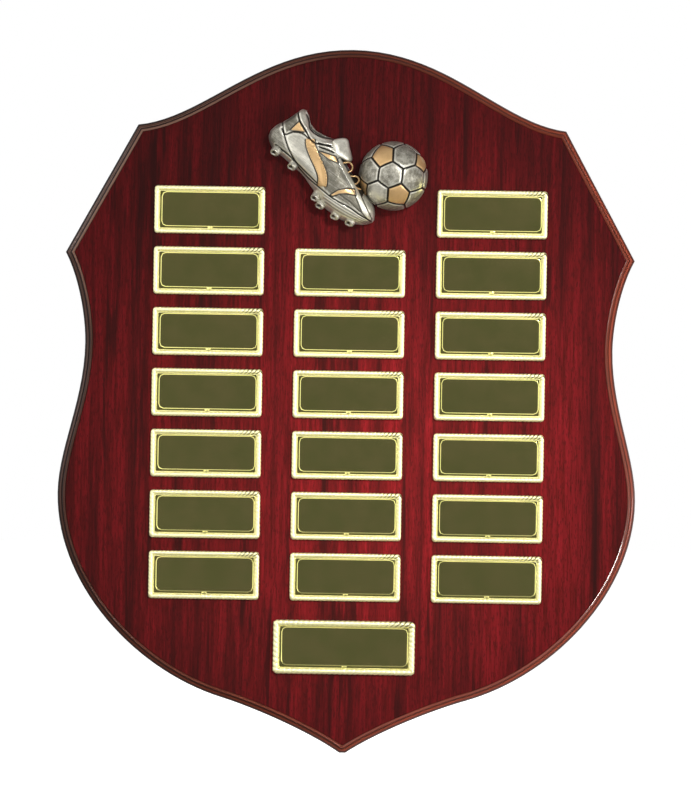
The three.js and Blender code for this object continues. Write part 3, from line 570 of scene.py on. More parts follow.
def thicken(bm, face, rise):
    """Draws a face forward into a slab and returns its new front."""
    made = bmesh.ops.extrude_face_region(bm, geom=[face])["geom"]
    front = next(part for part in made if isinstance(part, bmesh.types.BMFace))
    bmesh.ops.translate(bm, vec=(0, -rise, 0), verts=front.verts)
    return front


def work_moulding(bm, face, steps, forward=1, layer=None, values=()):
    """Works a moulding round a face. Each step is how far it goes in and how far it comes forward, and
    values are what each step's points hold in a layer."""
    for k, (inset, rise) in enumerate(steps):
        bmesh.ops.inset_region(bm, faces=[face], thickness=inset, use_even_offset=True, use_boundary=True)
        bmesh.ops.translate(bm, vec=(0, -rise * forward, 0), verts=face.verts)
        if layer:
            for vert in face.verts:
                vert[layer] = values[k]


def trim_round(bm, face, margin):
    """Cuts a margin off all round a face."""
    rim = bmesh.ops.inset_region(bm, faces=[face], thickness=margin, use_even_offset=True,
                                 use_boundary=True)["faces"]
    bmesh.ops.delete(bm, geom=rim, context="FACES")


def millimetres(steps):
    """Steps given in millimetres, in metres."""
    return [(inset * MM, rise * MM) for inset, rise in steps]


def quarter_round(width, height, count):
    """Steps round a quarter of an ellipse, from its upright side to its crown."""
    angles = [k / count * math.pi / 2 for k in range(count + 1)]
    return [(width * (math.cos(a) - math.cos(b)), height * (math.sin(b) - math.sin(a)))
            for a, b in zip(angles, angles[1:])]


def shape_points(bm, points, values):
    """Moves a bmesh's points to their places, and gives them the values of their attributes by name."""
    layers = {name: bm.verts.layers.float.new(name) for name in values}
    for k, vert in enumerate(bm.verts):
        vert.co = points[k]
        for name, layer in layers.items():
            vert[layer] = float(values[name][k])


def mapped_grid(bm, columns, rows, place):
    """Fills an empty bmesh with a grid whose points and values come from place(u, v), with u and v from
    0 to 1, and closes its seams."""
    bmesh.ops.create_grid(bm, x_segments=columns, y_segments=rows, size=0.5)
    flat = np.array([vert.co[:2] for vert in bm.verts]) + 0.5
    shape_points(bm, *place(flat[:, 0], flat[:, 1]))
    bmesh.ops.remove_doubles(bm, verts=bm.verts, dist=0.002 * MM)
    bmesh.ops.dissolve_degenerate(bm, dist=0.001 * MM, edges=bm.edges)
    bmesh.ops.recalc_face_normals(bm, faces=bm.faces)


class OBJECT_OT_trophy_board(bpy.types.Operator):
    """Build the board with its moulded edge, and its veneers"""

    bl_idname = "object.trophy_board"
    bl_label = "Board and Veneers"

    def execute(self, context):
        settings = context.scene.trophy_shield
        bm = bmesh.new()
        stain = bm.verts.layers.float.new("stain")
        back = outline_face(bm, settings, CORE_BACK - settings.arris)
        straight = CORE_BACK - settings.arris - CORE_FRONT - MOULDING_HEIGHT * MM
        front = thicken(bm, back, straight)
        for vert in bm.verts:
            vert[stain] = 1
        work_moulding(bm, back, quarter_round(settings.arris, settings.arris, 3), forward=-1)
        # The stain layer also carries the painted shade and sheen of the tables
        work_moulding(bm, front, millimetres(quarter_round(ROUND_WIDTH, ROUND_HEIGHT, ROUND_STEPS)),
                      layer=stain, values=ROUND_STAIN_AND_SHEEN)
        work_moulding(bm, front, millimetres(QUIRK_STEPS + BEAD_STEPS), layer=stain,
                      values=QUIRK_STAIN_AND_SHADE + BEAD_STAIN_AND_HIGHLIGHT)
        reached = front.verts[0].co.y
        work_moulding(bm, front, [(settings.veneer_setback, reached - CORE_FRONT)], layer=stain, values=[1])
        bmesh.ops.recalc_face_normals(bm, faces=bm.faces)
        finish_piece(bm, "shield_board_moulded", new_material(stained_mdf_edge, settings),
                     ["shield_board"])

        bm = bmesh.new()
        face = outline_face(bm, settings, CORE_FRONT)
        trim_round(bm, face, MOULDING_WIDTH * MM + settings.veneer_setback)
        front = thicken(bm, face, CORE_FRONT - FACE - FINE_ARRIS)
        work_moulding(bm, front, [(FINE_ARRIS, FINE_ARRIS)])
        bmesh.ops.recalc_face_normals(bm, faces=bm.faces)
        finish_piece(bm, "face_veneer_sheet", new_material(lacquered_rosewood, settings),
                     ["face_veneer"])

        bm = bmesh.new()
        face = outline_face(bm, settings, BOARD_BACK)
        trim_round(bm, face, settings.arris)
        thicken(bm, face, BOARD_BACK - CORE_BACK)
        bmesh.ops.recalc_face_normals(bm, faces=bm.faces)
        finish_piece(bm, "back_veneer_sheet", new_material(printed_back_sheet, settings),
                     ["back_veneer"])
        return {"FINISHED"}


def stand_copies(pattern, names, y, ending, material, sharp_angle=35):
    """Finishes a copy of a pattern at the middle of each node that it stands for, and frees the pattern."""
    for name in names:
        low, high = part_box(name)
        middle = (low + high) / 2
        bm = pattern.copy()
        bmesh.ops.translate(bm, vec=(middle.x, y, middle.z), verts=bm.verts)
        finish_piece(bm, name + ending, material, [name], sharp_angle=sharp_angle)
    pattern.free()


def rope_holder(bm, width, height, corner, rim, lay, floor):
    """A tray with a two-strand rope laid round it, about the origin and standing forward of y = 0."""
    radius = rim / 2
    # The least radius that the rope's inner side turns at a corner
    least = 0.35 * MM
    centre_corner = max(corner - radius, least)
    sides = (width - rim - 2 * centre_corner, height - rim - 2 * centre_corner)
    arc = centre_corner * math.pi / 2
    length = 2 * sum(sides) + 4 * arc
    lobes = round(length / lay)
    # The loop's eight spans are corners and sides by turns, from the lower right corner
    lengths = [arc, sides[1], arc, sides[0]] * 2
    starts = np.concatenate(([0], np.cumsum(lengths)))
    turns = np.array([-0.5, 0, 0, 0.5, 0.5, 1, 1, 1.5]) * math.pi
    corner_x = np.array([1, 1, 1, 1, -1, -1, -1, -1])
    corner_z = np.array([-1, -1, 1, 1, 1, 1, -1, -1])

    def loop_point(along, inset):
        """A point of the rounded rectangle that is drawn in by an inset."""
        span = np.clip(np.searchsorted(starts, along, side="right") - 1, 0, 7)
        share = (along - starts[span]) / (starts[span + 1] - starts[span])
        turned = np.where(span % 2 == 0, share, 0) * math.pi / 2 + turns[span]
        bend = np.maximum(corner - inset, least)
        reach_x = width / 2 - inset - bend
        reach_z = height / 2 - inset - bend
        after = (span + 1) % 8
        straight = np.where(span % 2 == 1, share, 0)
        at_x = corner_x[span] + (corner_x[after] - corner_x[span]) * straight
        at_z = corner_z[span] + (corner_z[after] - corner_z[span]) * straight
        return at_x * reach_x + bend * np.cos(turned), at_z * reach_z + bend * np.sin(turned)

    def place(u, v):
        """Along the rope with u and round it with v."""
        turn = v * 2 * math.pi
        # The two strands swell between hollows a sixth of the rope's radius deep, and the rope is
        # pressed a tenth flat
        swell = np.abs(np.cos(turn + u * lobes * math.pi)) ** 0.4
        strand = radius * (0.84 + 0.16 * swell)
        x, z = loop_point(np.minimum(u * length, length * (1 - 1e-9)), radius + strand * np.cos(turn))
        y = -radius * 0.9 - strand * 0.9 * np.sin(turn)
        # Painted shade: the hollows are painted darkest towards the holder's upper right corner
        upper_right_shade = ease(2 * x / width, 0.45, 0.85) * ease(2 * z / height, 0.72, 0.8)
        hollow = ease(1 - swell, 0.14, 0.38) * (0.08 + 0.92 * upper_right_shade)
        return np.stack((x, y, z), axis=1), {"hollow": hollow}

    mapped_grid(bm, lobes * 8, 16, place)
    tray = rounded_face(bm, width - rim * 0.7, height - rim * 0.7, corner, 4)
    thicken(bm, tray, floor)


class OBJECT_OT_trophy_holders(bpy.types.Operator):
    """Build the rope-twist holders"""

    bl_idname = "object.trophy_holders"
    bl_label = "Plate Holders"

    def execute(self, context):
        settings = context.scene.trophy_holders
        material = new_material(gilt_rope_casting, settings)
        for names, rim, lay in ((RECORD_NAMES, settings.record_rim, settings.record_lay),
                                (["title_holder"], settings.title_rim, settings.title_lay)):
            size = node_size(names[0])
            pattern = bmesh.new()
            rope_holder(pattern, size.x, size.z, settings.corner, rim, lay, settings.floor)
            stand_copies(pattern, names, FACE, "_rope", material, sharp_angle=60)
        return {"FINISHED"}


def engraving_plate(bm, width, height, settings):
    """A plate with a raised line round it, its corners cut across, and a small nib under the line."""
    slab = rounded_face(bm, width, height, PLATE_CORNER, 3)
    top = thicken(bm, slab, settings.thickness - FINE_ARRIS)
    work_moulding(bm, top, [(FINE_ARRIS, FINE_ARRIS)])
    bmesh.ops.recalc_face_normals(bm, faces=bm.faces)
    level = -settings.thickness
    # The line is a low ridge that starts 0.1 mm behind the plate's face
    panel = bmesh.new()
    face = rounded_face(panel, width - 2 * settings.border, height - 2 * settings.border,
                        settings.chamfer, 2)
    bmesh.ops.translate(panel, vec=(0, level + 0.1 * MM, 0), verts=panel.verts)
    ridge = thicken(panel, face, 0.12 * MM)
    work_moulding(panel, ridge, [(settings.line * share, rise * MM) for share, rise in (
        (0.05, 0.16), (0.35, 0.065), (0.4, 0.04), (0.2, 0.01))])
    bmesh.ops.recalc_face_normals(panel, faces=panel.faces)
    # The nib is a flattened cone, 3.4 mm wide, under the middle of the line
    nib = bmesh.ops.create_cone(panel, cap_ends=True, segments=12, radius1=1.7 * MM, radius2=0.2 * MM,
                                depth=0.34 * MM)["verts"]
    bmesh.ops.rotate(panel, matrix=Matrix.Rotation(math.pi / 2, 3, "X"), verts=nib)
    bmesh.ops.scale(panel, vec=(1, 1, 0.6), verts=nib)
    bmesh.ops.translate(panel, vec=(0, level - 0.15 * MM, settings.border - 0.35 * MM - height / 2),
                        verts=nib)
    bmesh.ops.translate(panel, vec=(settings.lean, 0, settings.lean), verts=panel.verts)
    joined = bpy.data.meshes.new("plate_panel")
    panel.to_mesh(joined)
    panel.free()
    bm.from_mesh(joined)
    bpy.data.meshes.remove(joined)


class OBJECT_OT_trophy_plates(bpy.types.Operator):
    """Build the engraving plates"""

    bl_idname = "object.trophy_plates"
    bl_label = "Engraving Plates"

    def execute(self, context):
        settings = context.scene.trophy_plates
        material = new_material(anodised_gold_plate, settings)
        records = [name.replace("holder", "plate") for name in RECORD_NAMES]
        for names in (records, ["title_plate"]):
            size = node_size(names[0])
            pattern = bmesh.new()
            engraving_plate(pattern, size.x, size.z, settings)
            stand_copies(pattern, names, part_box(names[0])[1].y, "_polished", material)
        return {"FINISHED"}


def line_distance(x, z, line):
    """Distance of each point from a broken line, and how far along the line its nearest point is."""
    best = np.full(x.shape, 1e9)
    along = np.zeros(x.shape)
    travelled = 0
    for (ax, az), (bx, bz) in zip(line, line[1:]):
        length = math.hypot(bx - ax, bz - az)
        share = np.clip(((x - ax) * (bx - ax) + (z - az) * (bz - az)) / length ** 2, 0, 1)
        away = np.hypot(x - ax - share * (bx - ax), z - az - share * (bz - az))
        closer = away < best
        best = np.where(closer, away, best)
        along = np.where(closer, travelled + share * length, along)
        travelled += length
    return best, along


def depth_inside(x, z, polygon):
    """How far each point is inside a polygon, below 0 outside it."""
    inside = np.zeros(x.shape, bool)
    closed = list(polygon) + [polygon[0]]
    for (ax, az), (bx, bz) in zip(closed, closed[1:]):
        if az == bz:
            continue
        crosses = ((az > z) != (bz > z)) & (x < (bx - ax) * (z - az) / (bz - az) + ax)
        inside ^= crosses
    away, _ = line_distance(x, z, closed)
    return np.where(inside, away, -away)


def ease(value, low, high):
    """A smooth step from 0 at low to 1 at high."""
    share = np.clip((value - low) / (high - low), 0, 1)
    return share * share * (3 - 2 * share)


def smooth_line(line, spacing=0.8):
    """A curve through the points of a broken line, as a finer broken line."""
    points = [Vector((x, 0, z)) for x, z in line]
    ends = [2 * points[0] - points[1]] + points + [2 * points[-1] - points[-2]]
    fine = []
    for before, a, b, after in zip(ends, ends[1:], ends[2:], ends[3:]):
        count = max(2, round((b - a).length / spacing) + 1)
        fine += interpolate_bezier(a, a + (b - before) / 6, b - (after - a) / 6, b, count)[:-1]
    return [(p.x, p.z) for p in fine + [points[-1]]]


def line_share(line, share):
    """Points of a finely drawn line at shares of the way along its points, and the way it runs there."""
    spot = share * (len(line) - 1)
    low = np.minimum(spot.astype(int), len(line) - 2)
    part = (spot - low)[:, None]
    return line[low] * (1 - part) + line[low + 1] * part, line[low + 1] - line[low]


def round_wire(x, y, z, run, radius, u, v):
    """Points round a wire whose middle runs through x and z at a place along Y, by its length with u and
    round it with v, closed at its ends."""
    reach = np.where((u < 1e-6) | (u > 1 - 1e-6), 0, radius)
    turn = v * 2 * math.pi
    return np.stack((x - run[:, 1] * reach * np.cos(turn), y - reach * np.sin(turn),
                     z + run[:, 0] * reach * np.cos(turn)), axis=1)


def boot_section(along):
    """Middle, half height and depth of the boot at places along it, in millimetres."""
    table = np.array(BOOT_SECTIONS, float)
    fine = np.linspace(0, table[-1, 0], SECTION_SAMPLES)
    weights = np.exp(-np.linspace(-2, 2, 2 * SECTION_EASE + 1) ** 2)
    weights /= weights.sum()
    curves = []
    for column in (1, 2, 3):
        raw = np.interp(fine, table[:, 0], table[:, column])
        # Both ends are turned about themselves, so that easing leaves them in place
        padded = np.concatenate((2 * raw[0] - raw[SECTION_EASE:0:-1], raw,
                                 2 * raw[-1] - raw[-2:-SECTION_EASE - 2:-1]))
        curves.append(np.interp(along, fine, np.convolve(padded, weights, "valid")))
    bottom, top, swell = curves
    return (bottom + top) / 2, (top - bottom) / 2, swell * BOOT_DEPTH


def boot_surface_depth(x, z):
    """How far the boot's plain surface stands off its flat back at points of its side view."""
    middle, half, depth = boot_section(x)
    rise = np.clip(np.abs(z - middle) / half, 0, 1) ** (1 / SECTION_FULLNESS)
    return depth * np.sqrt(np.clip(1 - rise ** 2, 0, 1)) ** SECTION_FULLNESS


def boot_details(x, z, settings):
    """Height of the boot's details over its plain surface in millimetres, and the values of its finish."""
    seam_depth, band = settings.seam_depth / MM, settings.band_height / MM
    height = np.zeros(x.shape)
    seam = np.zeros(x.shape)
    gilt = np.zeros(x.shape)
    # How far each panel is aged, from 0 to 1. The toe's full ageing also paints in shade and a dark
    # reflection, and the sole's unaged bright colour paints in light on its underside
    aged = np.full(x.shape, 0.3)
    for panel, value in ((HEEL_PANEL, 0.8), (QUARTER_PANEL, 1), (SIDE_PANEL, 0.95), (TOE_PANEL, 1),
                         (TONGUE_PANEL, 1), (THROAT, 1), (SOLE_PANEL, 0)):
        share = ease(depth_inside(x, z, panel), -0.2, 0.5)
        aged = aged * (1 - share) + value * share
    # Shallow dark grooves between the sole's ribs
    for line in SOLE_RIBS:
        away, _ = line_distance(x, z, smooth_line(line))
        height -= 0.5 * seam_depth * np.exp(-(away / 0.36) ** 2)
        seam = np.maximum(seam, 0.6 * ease(-away, -0.5, -0.15))
    # Seams, whose lips are rubbed bright
    for line in (WELT_LINE, HEEL_SEAM, ANKLE_SEAM, COLLAR_LOWER, COLLAR_UPPER, *TONGUE_STRIPES):
        away, _ = line_distance(x, z, smooth_line(line) if len(line) > 2 else line)
        height -= seam_depth * np.exp(-(away / 0.42) ** 2)
        seam = np.maximum(seam, ease(-away, -0.62, -0.25))
        aged -= 0.5 * np.exp(-((away - 1.1) / 0.5) ** 2)
    # The collar's and the ankle's leather puffs up beside its seam
    for line, lift in ((COLLAR_LOWER, 0.6), (ANKLE_SEAM, 0.3)):
        away, _ = line_distance(x, z, smooth_line(line))
        height += lift * np.exp(-((away - 1.2) / 0.8) ** 2)
    # The strip of leather that holds the eyelets, rubbed bright, which also paints in its highlight
    inside = depth_inside(x, z, EYESTAY)
    height += band * 1.1 * ease(inside, -0.3, 0.35)
    seam = np.maximum(seam, 0.85 * ease(-np.abs(inside + 0.3), -0.5, -0.1))
    aged = np.where(inside > 0.1, 0.12, aged)
    # Gilt panels and the saddle band, raised, with a dark line round each
    away, along = line_distance(x, z, smooth_line(SADDLE_BAND))
    saddle = SADDLE_WIDTH / 2 - away
    saddle_length = ease(along, 0.5, 1.2) * ease(-along, -31.6, -31)
    panels = [(depth_inside(x, z, panel), 0.8, 1) for panel in (ANKLE_PATCH, LACE_TAB, TOE_BAND)]
    for inside, lift, within in (*panels, (saddle, 0.9, saddle_length)):
        height += band * lift * ease(inside, -0.2, 0.3) * within
        gilt = np.maximum(gilt, ease(inside, -0.05, 0.25) * within)
        seam = np.maximum(seam, 0.95 * ease(-np.abs(inside + 0.25), -0.6, -0.2) * within)
    # Stitches 1.5 mm apart, 0.75 mm in from the band's edges
    stitch = ease(-np.abs(saddle - 0.75), -0.32, -0.1) * ease(np.cos(along * 2 * math.pi / 1.5), -0.2, 0.4)
    height -= 0.18 * stitch * saddle_length
    seam = np.maximum(seam, 0.45 * stitch * saddle_length)
    return height, {"seam": seam, "aged": np.clip(aged, 0, 1), "gilt": gilt}


def boot_shell(bm, settings):
    """The boot's shell in its own frame, with a flat back."""
    # The columns of points are closest at the heel and the toe. This share of the half turn that spaces
    # them is left out at either end.
    spared = 0.15

    def place(u, v):
        """Along the boot with u, and with v from its top over its side to its sole, then across its flat
        back."""
        cosines = 0.5 - 0.5 * np.cos(math.pi * (spared + (1 - 2 * spared) * u))
        x = BOOT_SECTIONS[-1][0] * (cosines - (0.5 - 0.5 * math.cos(spared * math.pi))) \
            / math.cos(spared * math.pi)
        middle, half, depth = boot_section(x)
        angle = np.clip(v / 0.96, 0, 1) * math.pi
        closing = v > 0.98
        cosine = np.where(closing, 1, np.cos(angle))
        sine = np.where(closing, 0, np.abs(np.sin(angle)))
        z = middle + half * np.sign(cosine) * np.abs(cosine) ** SECTION_FULLNESS
        out = depth * np.where(sine < 1e-9, 0, sine ** SECTION_FULLNESS)
        detail, values = boot_details(x, z, settings)
        out = out + detail * ease(sine, 0.05, 0.5)
        # The collar opens into a hollow whose floor is 5.5 mm off the back, and the throat is cut back
        hollow = ease(depth_inside(x, z, COLLAR_HOLLOW), -0.25, 0.35)
        out = np.where(out > 0, out * (1 - hollow) + np.minimum(out, 5.5) * hollow, 0)
        throat = ease(depth_inside(x, z, THROAT), -0.2, 0.6)
        out = out - np.minimum(0.9, 0.5 * out) * throat
        values["seam"] = np.maximum(values["seam"], np.maximum(0.85 * hollow, 0.75 * throat))
        values["gilt"] = values["gilt"] * (1 - hollow)
        values["brushed"] = np.full(x.shape, 0.55)
        return np.stack((x, -np.maximum(out, 0), z), axis=1) * MM, values

    mapped_grid(bm, 400, 150, place)
    # The small flats at the heel and the toe close the shell
    bmesh.ops.holes_fill(bm, edges=[edge for edge in bm.edges if edge.is_boundary])
    bmesh.ops.recalc_face_normals(bm, faces=bm.faces)


def tongue_flap(bm):
    """The tongue's flap, folded down over the throat: a pillow with a flat back in the boot's frame."""
    rim = np.array(smooth_line([*TONGUE_FLAP, TONGUE_FLAP[0]], 0.4))
    middle = rim.mean(axis=0)

    def place(u, v):
        """Round the flap with u, and with v from its crown out to its rim, down and back to its middle."""
        edge, _ = line_share(rim, u)
        crown = np.clip(v / 0.8, 0, 1)
        share = np.where(v > 0.95, 0, np.sin(crown * math.pi / 2))
        x, z = (middle + (edge - middle) * share[:, None]).T
        # It stands 10.8 mm off the back at its middle and slopes down towards the toe and the top
        slope = 10.8 - 0.3 * (x - middle[0]) - 0.62 * (z - middle[1])
        out = np.where(v < 0.85, slope * (0.62 + 0.38 * np.cos(crown * math.pi / 2) ** 0.6), 0.5)
        # The flap is brightest at its crown, which paints in its highlight as well as wear, and darkest at
        # its rim
        values = {"aged": 0.05 + 0.4 * ease(1 - share, 0.2, 0.9), "seam": ease(share, 0.93, 1) * 0.7}
        return np.stack((x, -np.maximum(out, 0.5), z), axis=1) * MM, values

    mapped_grid(bm, 90, 30, place)


def studs(bm):
    """Round-ended studs under the sole, turned a little outwards, with a dimple in each tip, in the boot's
    frame."""
    aged = bm.verts.layers.float.new("aged")
    seam = bm.verts.layers.float.new("seam")
    segments = 24
    for x, z in STUDS:
        made = bmesh.ops.create_cone(bm, cap_ends=True, segments=segments, radius1=STUD_TIP * MM,
                                     radius2=STUD_ROOT * MM, depth=STUD_LENGTH * MM)["verts"]
        turn = Matrix.Translation((x * MM, -STUD_OUT * MM, (z + STUD_UP) * MM)) @ \
            Matrix.Rotation(STUD_TURN, 4, "X")
        bmesh.ops.transform(bm, matrix=turn, verts=made)
        end = set(made[:segments])
        rim = [edge for edge in bm.edges if end.issuperset(edge.verts)]
        rounded = bmesh.ops.bevel(bm, geom=rim, offset=STUD_ROUND * MM, segments=3, profile=0.5,
                                  material=-1, affect="EDGES")["verts"]
        tip = next(face for vert in rounded for face in vert.link_faces if len(face.verts) > 4)
        tip.normal_update()
        for depth in (0, -DIMPLE_DEPTH):
            bmesh.ops.inset_region(bm, faces=[tip], thickness=STUD_DIMPLE * MM, depth=depth * MM)
        for vert in tip.verts:
            vert[seam] = 0.5
    for vert in bm.verts:
        vert[aged] = 0.35


def laces(bm):
    """The lace in its loops over the throat, a round cord 1 mm thick, in the boot's frame."""
    path = np.array(smooth_line(LACE_PATH, 0.25))
    # The lace lies on the boot, whose surface under it is eased over 25 points of the path
    reach = boot_surface_depth(path[:, 0], np.minimum(path[:, 1], 30))
    reach = np.convolve(np.pad(np.maximum(reach, 9.5), 12, mode="edge"), np.ones(25) / 25, "valid") + 0.2
    line = np.column_stack((path, reach))

    def place(u, v):
        (x, z, out), (run_x, run_z, _) = (part.T for part in line_share(line, u))
        run = np.stack((run_x, run_z), axis=1) / np.maximum(np.hypot(run_x, run_z), 1e-9)[:, None]
        values = {"aged": np.full(u.shape, 0.6), "gilt": np.ones(u.shape), "seam": np.full(u.shape, 0.2)}
        return round_wire(x, -out, z, run, 0.5, u, v) * MM, values

    mapped_grid(bm, 220, 10, place)


class OBJECT_OT_trophy_boot(bpy.types.Operator):
    """Build the cast boot with its studs and laces"""

    bl_idname = "object.trophy_boot"
    bl_label = "Cast Boot"

    def execute(self, context):
        settings = context.scene.trophy_relief
        material = new_material(antique_silver_cold_cast, settings)
        shell = functools.partial(boot_shell, settings=settings)
        for name, build, sharp_angle in (
                ("cast_boot", shell, 70), ("cast_boot_tongue", tongue_flap, 35),
                ("cast_boot_studs", studs, 35), ("cast_boot_laces", laces, 35)):
            bm = bmesh.new()
            build(bm)
            bmesh.ops.transform(bm, matrix=RELIEF_FRAME, verts=bm.verts)
            finish_piece(bm, name, material, ["boot_and_ball_casting"],
                         sharp_angle=sharp_angle)
        return {"FINISHED"}


def seam_arcs():
    """The ball's seams as pairs of directions. Seams that leave the front run on over the rim."""
    corners = {name: Vector((x, -math.sqrt(max(0, 1 - x * x - z * z)), z)).normalized()
               for name, (x, z) in BALL_CORNERS.items()}
    arcs = [(corners[seam[0]], corners[seam[1]]) for seam in BALL_SEAMS]
    for name in BALL_OPEN_CORNERS:
        corner = corners[name]
        arcs.append((corner, Vector((corner.x, 0.35, corner.z)).normalized()))
    return arcs


def seam_distance(points):
    """Angle from each point of a unit ball to its nearest seam."""
    away = np.full(len(points), 9.0)
    for start, end in seam_arcs():
        start, end = np.array(start), np.array(end)
        across = np.cross(start, end)
        across /= np.linalg.norm(across)
        off = points @ across
        foot = points - off[:, None] * across
        foot /= np.maximum(np.linalg.norm(foot, axis=1), 1e-9)[:, None]
        between = (np.cross(np.broadcast_to(start, foot.shape), foot) @ across > 0) & \
            (np.cross(foot, np.broadcast_to(end, foot.shape)) @ across > 0)
        ends = np.minimum(np.arccos(np.clip(points @ start, -1, 1)),
                          np.arccos(np.clip(points @ end, -1, 1)))
        away = np.minimum(away, np.where(between, np.abs(np.arcsin(np.clip(off, -1, 1))), ends))
    return away


def within_panel(points, corners, low, high):
    """How far each point of a unit ball is within a panel, from 0 at a depth of low to 1 at high."""
    panel = [BALL_CORNERS[name] for name in corners]
    return ease(depth_inside(points[:, 0], points[:, 2], panel), low, high)


class OBJECT_OT_trophy_ball(bpy.types.Operator):
    """Build the cast ball with its seams and gilt panels"""

    bl_idname = "object.trophy_ball"
    bl_label = "Cast Ball"

    def execute(self, context):
        settings = context.scene.trophy_relief
        radius = settings.ball_radius
        bm = bmesh.new()
        bmesh.ops.create_icosphere(bm, subdivisions=7, radius=1)
        points = np.array([vert.co for vert in bm.verts])
        away = seam_distance(points) * radius / MM
        # Each panel puffs up from its seams over 2.2 mm, and each seam is a narrow groove
        puff = np.clip(1 - away / 2.2, 0, 1) ** 2
        drop = settings.ball_seam_depth / MM * (0.45 * puff + 0.55 * np.exp(-(away / 0.36) ** 2))
        # Painted highlight: the lower left hexagon is painted brightest, with the ageing left off it
        rubbed = within_panel(points, BALL_HIGHLIGHT_PANEL, 0, 0.2)
        dulled = within_panel(points, BALL_DULL_PANEL, 0, 0.2)
        aged = (0.15 + 0.6 * ease(away, 0.9, 2)) * (1 - rubbed)
        aged += 0.6 * dulled * (1 - aged)
        values = {"seam": ease(-away, -0.92, -0.52), "aged": aged,
                  "gilt": np.max([within_panel(points, panel, -0.01, 0.01) for panel in BALL_GILT_PANELS],
                                 axis=0)}
        shape_points(bm, points * (radius - drop * MM)[:, None], values)
        bmesh.ops.translate(bm, vec=RELIEF_FRAME @ Vector([at * MM for at in BALL_MIDDLE]), verts=bm.verts)
        # The ball is cut flat at the relief's back
        cut = bmesh.ops.bisect_plane(bm, geom=bm.verts[:] + bm.edges[:] + bm.faces[:],
                                     plane_co=RELIEF_FRAME.translation, plane_no=(0, 1, 0),
                                     clear_outer=True)["geom_cut"]
        bmesh.ops.edgeloop_fill(bm, edges=[part for part in cut if isinstance(part, bmesh.types.BMEdge)])
        bmesh.ops.recalc_face_normals(bm, faces=bm.faces)
        finish_piece(bm, "cast_ball", bpy.data.materials[antique_silver_cold_cast.__name__],
                     ["boot_and_ball_casting"], sharp_angle=70)

        tape = new_material(foam_tape)
        for name in ("casting_pad_boot", "casting_pad_ball"):
            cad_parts[name].material_slots[0].material = tape
        return {"FINISHED"}


def ring_wire(bm, settings):
    """The hanging ring: a D of round wire whose straight bar has its butted ends at the middle."""
    wire = settings.wire_radius
    corner = settings.ring_corner
    level = (RING_LOW.y + RING_HIGH.y) / 2
    bar = RING_LOW.z + wire
    reach = (RING_HIGH.x - RING_LOW.x) / 2 - wire
    bow = RING_HIGH.z - wire - reach
    # Half of the D, from its butted end, 0.2 mm off the middle, along the bar, round the corner and up
    line = [(0.2 * MM, bar)]
    line += [(reach - corner + corner * math.sin(a), bar + corner * (1 - math.cos(a)))
             for a in np.linspace(0, math.pi / 2, 10)]
    line += [(reach * math.cos(a), bow + reach * math.sin(a)) for a in np.linspace(0, math.pi / 2, 25)]
    line += [(-x, z) for x, z in reversed(line[:-1])]
    path = np.array(line)
    run = np.gradient(path, axis=0)
    run /= np.linalg.norm(run, axis=1)[:, None]

    def place(u, v):
        """Each point of the path has a column of the grid, and each end has one more, which closes it."""
        spot = np.clip((u * (len(path) + 1)).round().astype(int) - 1, 0, len(path) - 1)
        return round_wire(path[spot, 0], level, path[spot, 1], run[spot], wire, u, v), {}

    mapped_grid(bm, len(path) + 1, 24, place)


def folded_strap(bm, settings):
    """The strap: a strip with round corners that lies on the back, folds round the ring's bar into an
    eye, and comes down again over itself."""
    thickness = settings.strap_thickness
    middle = settings.eye_radius + thickness / 2
    bar = RING_LOW.z + settings.wire_radius
    eye = BOARD_BACK + thickness + settings.eye_radius
    width = STRAP_HIGH.x - STRAP_LOW.x
    run = [(STRAP_LOW.z, BOARD_BACK + thickness / 2)]
    run += [(bar + middle * math.cos(a), eye + middle * math.sin(a))
            for a in np.radians(np.linspace(-90, 128, 22))]
    # The upper leaf lies flat from 4.4 mm below the bar, 0.3 mm clear of the lower one, and ends 3 mm
    # above its end
    tail = BOARD_BACK + 1.5 * thickness + 0.3 * MM
    run += [(bar - 4.4 * MM, tail), (STRAP_LOW.z + 3 * MM, tail)]
    verts = [bm.verts.new((-width / 2, y, z)) for z, y in run]
    edges = [bm.edges.new(pair) for pair in zip(verts, verts[1:])]
    made = bmesh.ops.extrude_edge_only(bm, edges=edges)["geom"]
    bmesh.ops.translate(bm, vec=(width, 0, 0), verts=[v for v in made if isinstance(v, bmesh.types.BMVert)])
    tips = [v for v in bm.verts if len(v.link_edges) == 2]
    bmesh.ops.bevel(bm, geom=tips, offset=2 * MM, segments=5, profile=0.5, material=-1, affect="VERTICES")
    bmesh.ops.recalc_face_normals(bm, faces=bm.faces)
    bmesh.ops.solidify(bm, geom=bm.faces[:], thickness=thickness)
    bmesh.ops.recalc_face_normals(bm, faces=bm.faces)


def wall_bumper(bm):
    """A domed bumper about the origin, standing back from y = 0."""
    radius = BUMPER_SIZE.x / 2
    height = BUMPER_SIZE.y
    # Straight sides for two fifths of the height, then a dome that draws in by 2.35 mm
    profile = [(0, 0), (radius, 0), (radius, height * 0.4)]
    profile += [(radius - 2.35 * MM * (1 - math.cos(a)), height * (0.4 + 0.6 * math.sin(a)))
                for a in np.linspace(0.2, math.pi / 2, 7)]
    profile += [(0, height)]
    verts = [bm.verts.new((x, y, 0)) for x, y in profile]
    edges = [bm.edges.new(pair) for pair in zip(verts, verts[1:])]
    bmesh.ops.spin(bm, geom=verts + edges, cent=(0, 0, 0), axis=(0, 1, 0), angle=2 * math.pi,
                   steps=40, use_merge=True)
    bmesh.ops.remove_doubles(bm, verts=bm.verts, dist=1e-6)
    bmesh.ops.recalc_face_normals(bm, faces=bm.faces)


